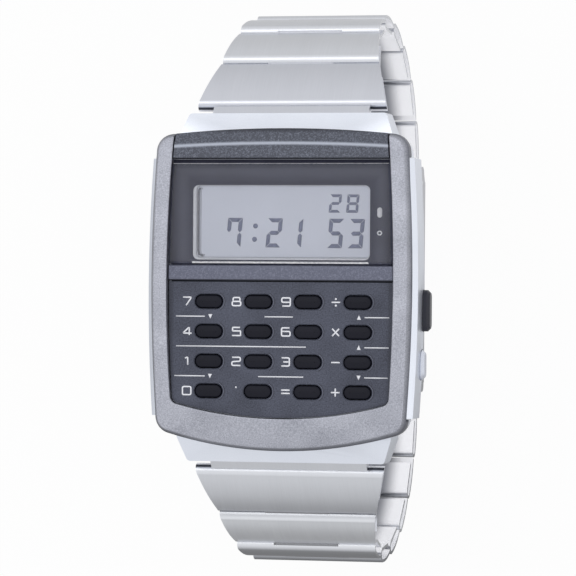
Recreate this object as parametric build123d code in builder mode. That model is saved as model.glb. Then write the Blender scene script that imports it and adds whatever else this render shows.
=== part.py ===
from build123d import *
import os
from math import cos, radians, sin, sqrt

# A digital watch with a calculator keypad, closed on its steel bracelet and standing on the clasp.
# Millimetres. +Z comes out of the face, +Y points to 12 o'clock and +X to 3 o'clock.
# Depths are measured downwards from the top of the bezel, and level() turns one into a height.

# Case
case_length = 43.2
case_reach = case_length / 2
case_half_width = 17.07
rail_end_gap = 5.7
rail_half_length = case_reach - rail_end_gap
rail_ridge_depth = 2.2
case_depth = 7.2
case_root_inset = 3.47
case_end_inset = 1.1
case_root_half_width = case_half_width - case_root_inset
case_end_half_width = case_root_half_width - case_end_inset
case_slope_run = 3.0
case_root_reach = case_reach - case_slope_run
end_slope_root_depth = 2.85
end_slope_tip_depth = 4.0
end_corner_radius = 0.5
rail_bottom_radius = 1.6
deck_depth = 1.45
deck_bottom_depth = 2.7
side_arc_radius = 256.0

# Bezel frame and the curved ends that it shares with the bar
rail_proud = 0.5
bezel_top_inset = 2.0
bezel_bottom_inset = 1.5
bezel_half_width = case_half_width - rail_proud
bezel_top_reach = case_reach - bezel_top_inset
bezel_bottom_reach = case_reach - bezel_bottom_inset
top_arc_radius = 140.0
bottom_arc_radius = 51.0
bezel_corner_radius = 2.2
bezel_bevel = 0.55
bezel_bevel_depth = 1.3
bezel_skirt_depth = 2.75
bezel_skirt_wall = 0.7
dome_radius = 400.0
bezel_limb = 2.27
bezel_foot = 4.0
opening_half_width = bezel_half_width - bezel_limb
opening_arc_radius = 240.0
opening_bottom_reach = bezel_bottom_reach - bezel_foot
opening_corner_radius = 1.1
rail_fit = 0.1
face_fit = 0.12

# Top bar and middle bar
bar_span = 3.8
bar_slope_run = 1.8
bar_front = bezel_top_reach - bar_span
bar_ridge = bezel_top_reach - bar_slope_run
bar_depth = 0.35
bar_back_depth = 1.05
middle_bar_bottom = 0.82
middle_bar_top = 2.76
middle_bar_depth = 0.6
bar_edge = 0.15

# Display
glass_bar_gap = 0.5
glass_bottom = 2.95
glass_top = bar_front - glass_bar_gap
glass_depth = 0.45
glass_bevel = 0.22
window_side = 3.1
window_border = 3.15
window_drop = 1.125
window_length = 2 * (opening_half_width - window_side)
window_height = glass_top - glass_bottom - window_border
window_centre = (glass_top + glass_bottom) / 2 - window_drop
window_radius = 0.7
mask_side = 1.0
mask_edge = 0.7
lcd_length = window_length + 2 * mask_side
lcd_height = window_height + 2 * mask_edge
lcd_thickness = 1.6
mask_thickness = 0.15
lcd_fit = 0.2
zebra_inset = 1.2
zebra_width = 1.2
zebra_length = lcd_length - 2 * zebra_inset

# Keypad
plate_depth = 0.85
plate_top = 0.68
bay_side = 1.7
bay_end = 1.5
keypad_bay_half_width = opening_half_width - bay_side
keypad_bay_top = 0.0
keypad_bay_bottom = bay_end - opening_bottom_reach
key_columns = 4
key_rows = 4
key_length = 3.38
key_width = 1.56
key_side_room = 1.49
key_end_room = 1.0
key_pitch_x = (2 * (keypad_bay_half_width - key_side_room) - key_length) / (key_columns - 1)
key_pitch_y = (keypad_bay_top - keypad_bay_bottom - 2 * key_end_room - key_width) / (key_rows - 1)
key_centre_x = 0.36
key_centre_lift = 0.03
key_centre_y = (keypad_bay_top + keypad_bay_bottom) / 2 + key_centre_lift
key_rise = 0.12
key_travel = 0.4
key_hole_fit = 0.1
key_hole_chamfer = 0.12
key_flange = 0.35
key_flange_thickness = 0.35
key_seat_fit = 0.05
pocket_fit = 0.15
plunger_hole_radius = 0.7

# Inside the case
case_wall = 2.87
case_end_wall = 5.0
cavity_half_width = case_half_width - case_wall
cavity_reach = case_reach - case_end_wall
cavity_corner = 3.6
inner_fit = 0.15
board_stack = 2.8
board_depth = case_depth - board_stack
board_thickness = 0.8
board_inset = 0.5
battery_radius = 10.0
battery_thickness = 1.6
battery_side = 0.3
battery_centre_y = battery_radius + battery_side - cavity_reach
battery_gap = 0.15
battery_edge = 0.3
clip_width = 4.0
clip_thickness = 0.2
buzzer_radius = 6.5
buzzer_thickness = 0.15
buzzer_side = 0.5
buzzer_centre_y = cavity_reach - buzzer_radius - buzzer_side
chip_size = 7.0
chip_height = 0.9
chip_x = -3.5
crystal_radius = 0.9
crystal_length = 5.5
crystal_x = 6.0
contact_radius = 0.5
contact_x = 3.0
chip_gap = 1.3
part_reach_y = battery_centre_y + battery_radius + chip_gap + chip_size / 2

# Case back
back_thickness = 1.0
back_side = 2.07
back_end = 3.3
back_half_width = case_half_width - back_side
back_half_length = case_reach - back_end
back_corner = 2.4
pad_side = 4.5
pad_end = 5.3
pad_half_width = back_half_width - pad_side
pad_half_length = back_half_length - pad_end
pad_step = 0.3
screw_side = 1.7
screw_end = 2.6
screw_x = back_half_width - screw_side
screw_y = back_half_length - screw_end
screw_head_radius = 1.0
screw_head_height = 0.6
screw_radius = 0.5
screw_length = 2.6
slot_width = 0.3
slot_length = 1.3
slot_depth = 0.25
gasket_gap = 0.25
gasket_width = 0.4
gasket_height = 0.45
gasket_fit = 0.03

# Side buttons
mode_y = -2.7
mode_rise = 1.6
mode_depth = case_depth - mode_rise
mode_length = 5.1
mode_height = 1.9
mode_proud = 0.85
adjust_y = -9.35
adjust_rise = 2.0
adjust_depth = case_depth - adjust_rise
adjust_length = 3.7
adjust_height = 1.9
adjust_proud = 0.3
button_travel = 0.45
button_fit = 0.08
button_edge = 0.35
recess_inset = 1.37
head_inset = 0.77
stem_inset = 2.37
recess_floor_x = case_half_width - recess_inset
head_floor_x = case_half_width - head_inset
stem_radius = 0.35
stem_fit = 0.04
stem_end_x = case_half_width - stem_inset
spring_radius = 0.62
spring_wall = 0.15
spring_pocket = 0.75
clip_bay_inset = 1.97
clip_bay_x = case_half_width - clip_bay_inset
clip_bay_radius = 1.0
clip_disc_radius = 0.85
clip_disc_thickness = 0.25
seal_radius = 0.72
seal_width = 0.22
seal_inset = 1.67
seal_x = case_half_width - seal_inset

# Spring bars and the notches that they cross
bar_inset = 1.3
bar_y = case_reach - bar_inset
bar_rise = 2.2
bar_axis_depth = case_depth - bar_rise
bar_radius = 0.75
bar_tip_radius = 0.4
notch_wall = 2.4
notch_run = 2.6
notch_half_width = case_end_half_width - notch_wall
notch_reach = case_reach - notch_run
bar_side_gap = 0.25
bar_tip_reach = 1.2
bar_half_length = notch_half_width - bar_side_gap
bar_tip_half_length = notch_half_width + bar_tip_reach
bar_tip_fit = 0.03
notch_lip = 0.55
tongue_clearance = 0.15

# Bracelet
end_pitch = 10.5
link_pitch = 6.2
link_angles = (38.0, 51.0, 76.0, 96.0, 114.0, 132.0, 149.0, 166.0)
band_side_step = 0.7
band_start_width = 2 * (case_end_half_width - band_side_step)
band_end_width = 16.4
band_taper_run = 30.0
band_taper_power = 2.72
sheet = 0.4
nose_radius = 0.95
crown = 0.3
rear_drop = 0.4
rear_gap = 0.12
tongue_sheet = 0.4
tongue_width = 8.0
tongue_side_fit = 0.2
barrel_radius = 0.5
pin_radius = 0.28
pin_fit = 0.02
pin_inset = 0.6
sleeve_length = 1.5
slot_angle = 32.0
slot_room = 0.12
floor_setback = 2.4
ramp_setback = 1.15
floor_overlap = 0.8
end_nose_offset = 3.3
end_tongue_sheet = 1.0
end_barrel_radius = 1.1
bar_fit = 0.05

# Clasp
clasp_drop = 2.1
cover_side = 0.6
cover_width = band_end_width + 2 * cover_side
cover_floor = 0.8
cover_wall = 0.7
cover_wall_rise = 1.35
cover_edge = 0.35
lug_radius = 0.95
base_side = 0.9
base_width = band_end_width - 2 * base_side
base_sheet = 0.6
base_offset = 0.7
base_knuckle_radius = 0.72
fold_y = 7.0
fold_knuckle_radius = 0.7
hinge_y = -12.7
hinge_offset = 0.55
hinge_barrel_radius = 0.6
blade_side = 0.8
blade_width = base_width - 2 * blade_side
blade_sheet = 0.5
clasp_pin_radius = 0.35
clasp_pin_fit = 0.03
side_fit = 0.15
floor_start = 0.3
spring_tip_gap = 0.1
base_lock_length = 9.0
base_lock_rise = 0.45

overrun = 5.0

os.makedirs("parts", exist_ok=True)


# Heights and the chain of bracelet joints
def chain_points():
    y, depth = bar_y, bar_axis_depth
    points = [(y, depth)]
    for index, angle in enumerate(link_angles):
        pitch = end_pitch if index == 0 else link_pitch
        y += pitch * cos(radians(angle))
        depth += pitch * sin(radians(angle))
        points.append((y, depth))
    return points


chain = chain_points()
clasp_y, clasp_depth = chain[-1]
face_height = clasp_depth + clasp_drop


def level(depth):
    return face_height - depth


def bend_at(index):
    """Turn of the band between one link and the next, in degrees."""
    following = link_angles[index] if index < len(link_angles) else 180.0
    return following - link_angles[index - 1]


def arc_sag(radius, reach):
    return radius - sqrt(radius * radius - reach * reach)


# Outlines seen from above
def barrel_outline(half_width, side_radius, top, top_radius, bottom, bottom_radius):
    """Four shallow arcs: bowed sides, and ends bowed by their own radii."""
    top_side = half_width - arc_sag(side_radius, top)
    bottom_side = half_width - arc_sag(side_radius, bottom)
    top_corner = top - arc_sag(top_radius, top_side)
    bottom_corner = bottom - arc_sag(bottom_radius, bottom_side)
    with BuildSketch() as outline:
        with BuildLine():
            ThreePointArc((-top_side, top_corner), (0, top), (top_side, top_corner))
            ThreePointArc((top_side, top_corner), (half_width, 0), (bottom_side, -bottom_corner))
            ThreePointArc((bottom_side, -bottom_corner), (0, -bottom), (-bottom_side, -bottom_corner))
            ThreePointArc((-bottom_side, -bottom_corner), (-half_width, 0), (-top_side, top_corner))
        make_face()
    return outline.sketch


def bezel_outline(inset=0.0):
    """Foot of the bezel, or a line that runs inside it at an even distance."""
    with BuildSketch() as outline:
        add(barrel_outline(bezel_half_width - inset, side_arc_radius - inset,
                           bezel_top_reach - inset, top_arc_radius - inset,
                           bezel_bottom_reach - inset, bottom_arc_radius - inset))
        fillet(outline.vertices(), bezel_corner_radius - inset)
    return outline.sketch


def opening_outline(inset=0.0):
    """Panel opening of the bezel: bowed sides, a bowed bottom and an open top."""
    reach = bezel_top_reach + overrun
    with BuildSketch() as outline:
        add(barrel_outline(opening_half_width - inset, opening_arc_radius - inset,
                           reach, top_arc_radius,
                           opening_bottom_reach - inset, bottom_arc_radius - inset))
        fillet(outline.vertices().group_by(Axis.Y)[0], opening_corner_radius - inset)
    return outline.sketch


def band_between(low_y, high_y):
    """Rectangle across the whole face between two heights on it."""
    with BuildSketch() as strip:
        with Locations((0, (low_y + high_y) / 2)):
            Rectangle(2 * case_half_width, high_y - low_y)
    return strip.sketch


def cavity_outline(grow=0.0):
    """Rectangle with its corners cut off, grown or shrunk at an even distance."""
    corner_change = grow * (2 - sqrt(2))
    with BuildSketch() as outline:
        Rectangle(2 * (cavity_half_width + grow), 2 * (cavity_reach + grow))
        chamfer(outline.vertices(), cavity_corner + corner_change)
    return outline.sketch


def case_end_outline():
    """Both tapered ends in one outline, 12 o'clock and 6 o'clock."""
    half_length = case_reach
    with BuildSketch() as outline:
        for side in (1, -1):
            with BuildLine():
                Polyline((-case_root_half_width, 0), (-case_root_half_width, side * case_root_reach),
                         (-case_end_half_width, side * half_length),
                         (case_end_half_width, side * half_length),
                         (case_root_half_width, side * case_root_reach),
                         (case_root_half_width, 0), close=True)
            make_face()
        corners = outline.vertices().group_by(Axis.Y)
        fillet(corners[0] + corners[-1], end_corner_radius)
    return outline.sketch


def slope_profile():
    """Side view of what the sloped faces cut from the case ends."""
    half_length = case_reach
    fall = (end_slope_tip_depth - end_slope_root_depth) / (half_length - case_root_reach)
    beyond = half_length + overrun
    beyond_depth = end_slope_tip_depth + fall * overrun
    with BuildSketch() as cut:
        for side in (1, -1):
            with BuildLine():
                Polyline((side * beyond, level(beyond_depth)),
                         (side * case_root_reach, level(end_slope_root_depth)),
                         (side * beyond, level(end_slope_root_depth)), close=True)
            make_face()
    return cut.sketch


# Case body: a housing with side rails, sloped ends, a deck under the face and a cavity from behind
button_places = ((mode_y, mode_depth, mode_length, mode_height),
                 (adjust_y, adjust_depth, adjust_length, adjust_height))

with BuildPart() as case_core:
    with BuildSketch(Plane.XY.offset(level(case_depth))):
        add(bezel_outline(bezel_skirt_wall))
    extrude(amount=case_depth - deck_depth)

with BuildPart() as case_rails:
    with BuildSketch(Plane.XY.offset(level(case_depth))):
        add(barrel_outline(case_half_width, side_arc_radius, bezel_top_reach,
                           top_arc_radius, bezel_top_reach, top_arc_radius))
        add(band_between(-rail_half_length, rail_half_length), mode=Mode.INTERSECT)
    extrude(amount=case_depth - bezel_bevel_depth - rail_fit)
    rail_rise = rail_ridge_depth - bezel_bevel_depth - rail_fit
    rail_top = case_rails.faces().filter_by(Axis.Z).sort_by(Axis.Z)[-1]
    chamfer(rail_top.edges().filter_by(GeomType.CIRCLE), rail_rise, case_half_width - bezel_half_width,
            reference=rail_top)
    bottom_edges = case_rails.faces().sort_by(Axis.Z)[0].edges().filter_by(GeomType.CIRCLE)
    fillet(bottom_edges, rail_bottom_radius)

with BuildPart() as case_ends:
    with BuildSketch(Plane.XY.offset(level(case_depth))):
        add(case_end_outline())
    extrude(amount=case_depth - end_slope_root_depth)
    with BuildSketch(Plane.YZ):
        add(slope_profile())
    extrude(amount=case_half_width, both=True, mode=Mode.SUBTRACT)

with BuildPart() as case_body:
    add(case_core.part)
    add(case_rails.part)
    add(case_ends.part)
    with BuildSketch(Plane.XY.offset(level(deck_depth))):
        add(opening_outline())
    extrude(amount=deck_depth, mode=Mode.SUBTRACT)
    # cavity from behind, then the display window and the keypad bay through the deck
    with BuildSketch(Plane.XY.offset(level(case_depth))):
        add(cavity_outline())
    extrude(amount=case_depth - deck_bottom_depth, mode=Mode.SUBTRACT)
    with BuildSketch(Plane.XY.offset(level(deck_bottom_depth))):
        with Locations((0, window_centre)):
            Rectangle(lcd_length + 2 * lcd_fit, lcd_height + 2 * lcd_fit)
        with Locations((0, (keypad_bay_top + keypad_bay_bottom) / 2)):
            RectangleRounded(2 * keypad_bay_half_width, keypad_bay_top - keypad_bay_bottom, window_radius)
    extrude(amount=overrun, mode=Mode.SUBTRACT)
    # gasket groove round the cavity mouth
    with BuildSketch(Plane.XY.offset(level(case_depth))):
        add(cavity_outline(gasket_gap + gasket_width + gasket_fit))
        add(cavity_outline(gasket_gap - gasket_fit), mode=Mode.SUBTRACT)
    extrude(amount=gasket_height + gasket_fit, mode=Mode.SUBTRACT)
    # screw holes in the four corners
    with BuildSketch(Plane.XY.offset(level(case_depth))):
        with GridLocations(2 * screw_x, 2 * screw_y, 2, 2):
            Circle(screw_radius)
    extrude(amount=screw_length, mode=Mode.SUBTRACT)
    # notches for the band, under a thin lip of the sloped ends, with blind holes for the bar tips
    for side in (1, -1):
        notch_middle = side * (notch_reach + case_reach + overrun) / 2
        notch_span = case_reach + overrun - notch_reach
        lip_depth = end_slope_tip_depth + notch_lip
        with BuildSketch(Plane.XY.offset(level(case_depth + overrun))):
            with Locations((0, notch_middle)):
                Rectangle(2 * notch_half_width, notch_span)
        extrude(amount=case_depth + overrun - lip_depth + bar_edge, mode=Mode.SUBTRACT)
        with BuildSketch(Plane.YZ):
            with Locations((side * bar_y, level(bar_axis_depth))):
                Circle(end_barrel_radius + tongue_clearance)
        extrude(amount=notch_half_width, both=True, mode=Mode.SUBTRACT)
        with BuildSketch(Plane.YZ):
            with Locations((side * bar_y, level(bar_axis_depth))):
                Circle(bar_tip_radius + bar_tip_fit)
        extrude(amount=bar_tip_half_length + bar_tip_fit, both=True, mode=Mode.SUBTRACT)
    # recess, stem bore, seal groove and clip bay of each side button
    for button_y, button_depth, button_length, button_height in button_places:
        axis_point = (button_y, level(button_depth))
        with BuildSketch(Plane.YZ.offset(recess_floor_x)):
            with Locations(axis_point):
                SlotOverall(button_length + 2 * button_fit, button_height + 2 * button_fit)
        extrude(amount=overrun, mode=Mode.SUBTRACT)
        with BuildSketch(Plane.YZ.offset(cavity_half_width - overrun)):
            with Locations(axis_point):
                Circle(stem_radius + stem_fit)
        extrude(amount=recess_floor_x - cavity_half_width + 2 * overrun, mode=Mode.SUBTRACT)
        with BuildSketch(Plane.YZ.offset(seal_x - seal_width / 2)):
            with Locations(axis_point):
                Circle(seal_radius)
        extrude(amount=seal_width, mode=Mode.SUBTRACT)
        with BuildSketch(Plane.YZ.offset(clip_bay_x)):
            with Locations(axis_point):
                Circle(clip_bay_radius)
        extrude(amount=cavity_half_width - clip_bay_x, mode=Mode.SUBTRACT)
case_body.part.label = "case_body"
export_step(case_body.part, "parts/case_body.step")


# Bezel frame: bevelled top, open at 12 o'clock for the bar, with a skirt round the case corners
with BuildPart() as bezel_frame:
    with BuildSketch(Plane.XY.offset(level(bezel_skirt_depth))):
        add(bezel_outline())
    extrude(amount=bezel_skirt_depth)
    top_face = bezel_frame.faces().sort_by(Axis.Z)[-1]
    chamfer(top_face.edges(), bezel_bevel, bezel_bevel_depth, reference=top_face)
    # the skirt stands clear of the case block, and the side rails come out through gaps in it
    with BuildSketch(Plane.XY.offset(level(bezel_skirt_depth))):
        add(bezel_outline(bezel_skirt_wall - rail_fit))
    extrude(amount=bezel_skirt_depth - deck_depth, mode=Mode.SUBTRACT)
    with BuildSketch(Plane.XY.offset(level(bezel_skirt_depth))):
        add(band_between(-rail_half_length - rail_fit, rail_half_length + rail_fit))
    extrude(amount=bezel_skirt_depth - bezel_bevel_depth, mode=Mode.SUBTRACT)
    with BuildSketch(Plane.XY.offset(level(deck_depth))):
        add(opening_outline())
    extrude(amount=deck_depth + overrun, mode=Mode.SUBTRACT)
    # the top bows along the watch
    dome_drop = arc_sag(dome_radius, bezel_bottom_reach)
    with BuildSketch(Plane.YZ):
        with BuildLine():
            dome = ThreePointArc((-bezel_bottom_reach, level(dome_drop)), (0, level(0)),
                                 (bezel_bottom_reach, level(dome_drop)))
            Polyline(dome @ 1, (bezel_bottom_reach, level(-overrun)),
                     (-bezel_bottom_reach, level(-overrun)), dome @ 0)
        make_face()
    extrude(amount=case_half_width, both=True, mode=Mode.SUBTRACT)
bezel_frame.part.label = "bezel_frame"
export_step(bezel_frame.part, "parts/bezel_frame.step")


# Top bar: a ridge across the head of the face, between the limbs of the bezel
with BuildPart() as top_bar:
    with BuildSketch(Plane.XY.offset(level(deck_depth))):
        add(bezel_outline())
        add(opening_outline(face_fit), mode=Mode.INTERSECT)
        add(band_between(bar_front, bezel_top_reach), mode=Mode.INTERSECT)
    extrude(amount=deck_depth - bar_depth)
    with BuildSketch(Plane.YZ):
        with BuildLine():
            Polyline((bar_ridge, level(bar_depth)), (bezel_top_reach, level(bar_back_depth)),
                     (bezel_top_reach + bar_edge, level(bar_back_depth)),
                     (bezel_top_reach + bar_edge, level(0)), (bar_ridge, level(0)), close=True)
        make_face()
    extrude(amount=case_half_width, both=True, mode=Mode.SUBTRACT)
    chamfer(top_bar.edges().filter_by(Axis.X).sort_by(Axis.Y)[:2].sort_by(Axis.Z)[-1], bar_edge)
top_bar.part.label = "top_bar"
export_step(top_bar.part, "parts/top_bar.step")


# Middle bar, between the glass and the keypad
with BuildPart() as middle_bar:
    with BuildSketch(Plane.XY.offset(level(deck_depth))):
        add(opening_outline(face_fit))
        add(band_between(middle_bar_bottom, middle_bar_top), mode=Mode.INTERSECT)
    extrude(amount=deck_depth - middle_bar_depth)
    chamfer(middle_bar.faces().sort_by(Axis.Z)[-1].edges().filter_by(Axis.X), bar_edge)
middle_bar.part.label = "middle_bar"
export_step(middle_bar.part, "parts/middle_bar.step")


# Display: bevelled glass, printed mask, liquid crystal cell and its two rubber contact strips
with BuildPart() as display_glass:
    with BuildSketch(Plane.XY.offset(level(deck_depth))):
        add(opening_outline(face_fit))
        add(band_between(glass_bottom, glass_top), mode=Mode.INTERSECT)
    extrude(amount=deck_depth - glass_depth)
    chamfer(display_glass.faces().sort_by(Axis.Z)[-1].edges(), glass_bevel)
display_glass.part.label = "display_glass"
export_step(display_glass.part, "parts/display_glass.step")

mask_depth = deck_depth + inner_fit
lcd_depth = mask_depth + mask_thickness

with BuildPart() as display_mask:
    with BuildSketch(Plane.XY.offset(level(lcd_depth))):
        with Locations((0, window_centre)):
            Rectangle(lcd_length, lcd_height)
            RectangleRounded(window_length, window_height, window_radius, mode=Mode.SUBTRACT)
    extrude(amount=mask_thickness)
display_mask.part.label = "display_mask"
export_step(display_mask.part, "parts/display_mask.step")

with BuildPart() as lcd_cell:
    with BuildSketch(Plane.XY.offset(level(lcd_depth + lcd_thickness))):
        with Locations((0, window_centre)):
            Rectangle(lcd_length, lcd_height)
    extrude(amount=lcd_thickness)
lcd_cell.part.label = "lcd_cell"
export_step(lcd_cell.part, "parts/lcd_cell.step")

with BuildPart() as contact_strips:
    with BuildSketch(Plane.XY.offset(level(board_depth))):
        with Locations((0, window_centre)):
            with GridLocations(zebra_length, lcd_height - zebra_width, 1, 2):
                Rectangle(zebra_length, zebra_width)
    extrude(amount=board_depth - lcd_depth - lcd_thickness)
contact_strips.part.label = "contact_strips"
export_step(contact_strips.part, "parts/contact_strips.step")


# Keypad: the printed plate with its pill holes, the silicone mat under it and sixteen keys
with BuildPart() as keypad_plate:
    with BuildSketch(Plane.XY.offset(level(deck_depth))):
        add(opening_outline(face_fit))
        add(band_between(-opening_bottom_reach, plate_top), mode=Mode.INTERSECT)
        with Locations((key_centre_x, key_centre_y)):
            with GridLocations(key_pitch_x, key_pitch_y, key_columns, key_rows):
                SlotOverall(key_length + 2 * key_hole_fit, key_width + 2 * key_hole_fit, mode=Mode.SUBTRACT)
    extrude(amount=deck_depth - plate_depth)
    hole_rims = keypad_plate.faces().sort_by(Axis.Z)[-1].inner_wires()
    chamfer([edge for rim in hole_rims for edge in rim.edges()], key_hole_chamfer)
keypad_plate.part.label = "keypad_plate"
export_step(keypad_plate.part, "parts/keypad_plate.step")

flange_depth = deck_depth + key_seat_fit
pocket_depth = flange_depth + key_flange_thickness + key_travel + key_seat_fit

with BuildPart() as keypad_mat:
    with BuildSketch(Plane.XY.offset(level(deck_bottom_depth))):
        with Locations((0, (keypad_bay_top + keypad_bay_bottom) / 2)):
            RectangleRounded(2 * (keypad_bay_half_width - inner_fit),
                             keypad_bay_top - keypad_bay_bottom - 2 * inner_fit, window_radius)
    extrude(amount=deck_bottom_depth - deck_depth)
    with BuildSketch(Plane.XY.offset(level(pocket_depth))):
        with Locations((key_centre_x, key_centre_y)):
            with GridLocations(key_pitch_x, key_pitch_y, key_columns, key_rows):
                SlotOverall(key_length + 2 * (key_flange + pocket_fit),
                            key_width + 2 * (key_flange + pocket_fit))
    extrude(amount=pocket_depth - deck_depth + bar_edge, mode=Mode.SUBTRACT)
keypad_mat.part.label = "keypad_mat"
export_step(keypad_mat.part, "parts/keypad_mat.step")

key_names = (("7", "8", "9", "divide"), ("4", "5", "6", "times"),
             ("1", "2", "3", "minus"), ("0", "point", "equals", "plus"))


def make_key(column, row):
    """Rubber key: a pill with a softened rim on a flange that stays under the plate."""
    x = key_centre_x + (column - (key_columns - 1) / 2) * key_pitch_x
    y = key_centre_y + ((key_rows - 1) / 2 - row) * key_pitch_y
    with BuildPart() as key:
        with BuildSketch(Plane.XY.offset(level(flange_depth + key_flange_thickness))):
            with Locations((x, y)):
                SlotOverall(key_length + 2 * key_flange, key_width + 2 * key_flange)
        extrude(amount=key_flange_thickness)
        with BuildSketch(Plane.XY.offset(level(flange_depth))):
            with Locations((x, y)):
                SlotOverall(key_length, key_width)
        extrude(amount=flange_depth - plate_depth + key_rise)
        chamfer(key.faces().sort_by(Axis.Z)[-1].edges(), key_hole_chamfer)
    return key


for row, names in enumerate(key_names):
    for column, name in enumerate(names):
        one_key = make_key(column, row)
        one_key.part.label = "key_" + name
        export_step(one_key.part, "parts/key_" + name + ".step")


# Module: plastic frame, circuit board, the parts soldered under it, battery, its strap and the buzzer
with BuildPart() as module_frame:
    with BuildSketch(Plane.XY.offset(level(board_depth))):
        add(cavity_outline(-inner_fit))
        with Locations((0, window_centre)):
            Rectangle(lcd_length + 2 * lcd_fit, lcd_height + 2 * lcd_fit, mode=Mode.SUBTRACT)
        with Locations((key_centre_x, key_centre_y)):
            with GridLocations(key_pitch_x, key_pitch_y, key_columns, key_rows):
                Circle(plunger_hole_radius, mode=Mode.SUBTRACT)
    extrude(amount=board_depth - deck_bottom_depth)
module_frame.part.label = "module_frame"
export_step(module_frame.part, "parts/module_frame.step")

board_bottom = board_depth + board_thickness
battery_depth = board_bottom + battery_gap
battery_bottom = battery_depth + battery_thickness

with BuildPart() as circuit_board:
    with BuildSketch(Plane.XY.offset(level(board_bottom))):
        add(cavity_outline(-board_inset))
    extrude(amount=board_thickness)
circuit_board.part.label = "circuit_board"
export_step(circuit_board.part, "parts/circuit_board.step")

buzzer_top = case_depth - buzzer_thickness

with BuildPart() as board_parts:
    with BuildSketch(Plane.XY.offset(level(board_bottom + chip_height))):
        with Locations((chip_x, part_reach_y)):
            RectangleRounded(chip_size, chip_size, button_edge)
    extrude(amount=chip_height)
    with BuildSketch(Plane.XZ.offset(-part_reach_y - crystal_length / 2)):
        with Locations((crystal_x, level(board_bottom + crystal_radius))):
            Circle(crystal_radius)
    extrude(amount=crystal_length)
    with BuildSketch(Plane.XY.offset(level(buzzer_top))):
        with Locations((contact_x, part_reach_y)):
            Circle(contact_radius)
    extrude(amount=buzzer_top - board_bottom)
board_parts.part.label = "board_parts"
export_step(board_parts.part, "parts/board_parts.step")

with BuildPart() as battery:
    with BuildSketch(Plane.XY.offset(level(battery_bottom))):
        with Locations((0, battery_centre_y)):
            Circle(battery_radius)
    extrude(amount=battery_thickness)
    chamfer(battery.faces().sort_by(Axis.Z)[0].edges(), battery_edge)
battery.part.label = "battery"
export_step(battery.part, "parts/battery.step")

with BuildPart() as battery_strap:
    strap_reach = battery_radius + 2 * battery_gap
    strap_depth = battery_bottom + clip_thickness
    with BuildSketch(Plane.XZ.offset(-battery_centre_y)):
        with BuildLine():
            Polyline((-strap_reach - clip_thickness, level(board_bottom)),
                     (-strap_reach - clip_thickness, level(strap_depth)),
                     (strap_reach + clip_thickness, level(strap_depth)),
                     (strap_reach + clip_thickness, level(board_bottom)),
                     (strap_reach, level(board_bottom)), (strap_reach, level(battery_bottom)),
                     (-strap_reach, level(battery_bottom)), (-strap_reach, level(board_bottom)), close=True)
        make_face()
    extrude(amount=clip_width / 2, both=True)
battery_strap.part.label = "battery_strap"
export_step(battery_strap.part, "parts/battery_strap.step")

with BuildPart() as buzzer_disc:
    with BuildSketch(Plane.XY.offset(level(case_depth))):
        with Locations((0, buzzer_centre_y)):
            Circle(buzzer_radius)
    extrude(amount=buzzer_thickness)
buzzer_disc.part.label = "buzzer_disc"
export_step(buzzer_disc.part, "parts/buzzer_disc.step")


# Case back with its raised pad, four screws and the gasket
back_depth = case_depth + back_thickness

with BuildPart() as case_back:
    with BuildSketch(Plane.XY.offset(level(back_depth - pad_step))):
        RectangleRounded(2 * back_half_width, 2 * back_half_length, back_corner)
    extrude(amount=back_thickness - pad_step)
    with BuildSketch(Plane.XY.offset(level(back_depth))):
        RectangleRounded(2 * pad_half_width, 2 * pad_half_length, back_corner)
    extrude(amount=pad_step)
    with BuildSketch(Plane.XY.offset(level(back_depth))):
        with GridLocations(2 * screw_x, 2 * screw_y, 2, 2):
            Circle(screw_head_radius + button_fit)
    extrude(amount=pad_step + screw_head_height, mode=Mode.SUBTRACT)
    with BuildSketch(Plane.XY.offset(level(back_depth))):
        with GridLocations(2 * screw_x, 2 * screw_y, 2, 2):
            Circle(screw_radius + stem_fit)
    extrude(amount=back_thickness, mode=Mode.SUBTRACT)
case_back.part.label = "case_back"
export_step(case_back.part, "parts/case_back.step")

head_depth = back_depth - pad_step

with BuildPart() as back_screws:
    with BuildSketch(Plane.XY.offset(level(head_depth))):
        with GridLocations(2 * screw_x, 2 * screw_y, 2, 2):
            Circle(screw_head_radius)
    extrude(amount=screw_head_height)
    with BuildSketch(Plane.XY.offset(level(head_depth - screw_head_height))):
        with GridLocations(2 * screw_x, 2 * screw_y, 2, 2):
            Circle(screw_radius)
    extrude(amount=screw_length + back_thickness - pad_step - screw_head_height)
    with BuildSketch(Plane.XY.offset(level(head_depth))):
        with GridLocations(2 * screw_x, 2 * screw_y, 2, 2):
            Rectangle(slot_width, slot_length)
            Rectangle(slot_length, slot_width)
    extrude(amount=slot_depth, mode=Mode.SUBTRACT)
back_screws.part.label = "back_screws"
export_step(back_screws.part, "parts/back_screws.step")

with BuildPart() as case_gasket:
    with BuildSketch(Plane.XY.offset(level(case_depth))):
        add(cavity_outline(gasket_gap + gasket_width))
        add(cavity_outline(gasket_gap), mode=Mode.SUBTRACT)
    extrude(amount=gasket_height)
case_gasket.part.label = "case_gasket"
export_step(case_gasket.part, "parts/case_gasket.step")


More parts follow.
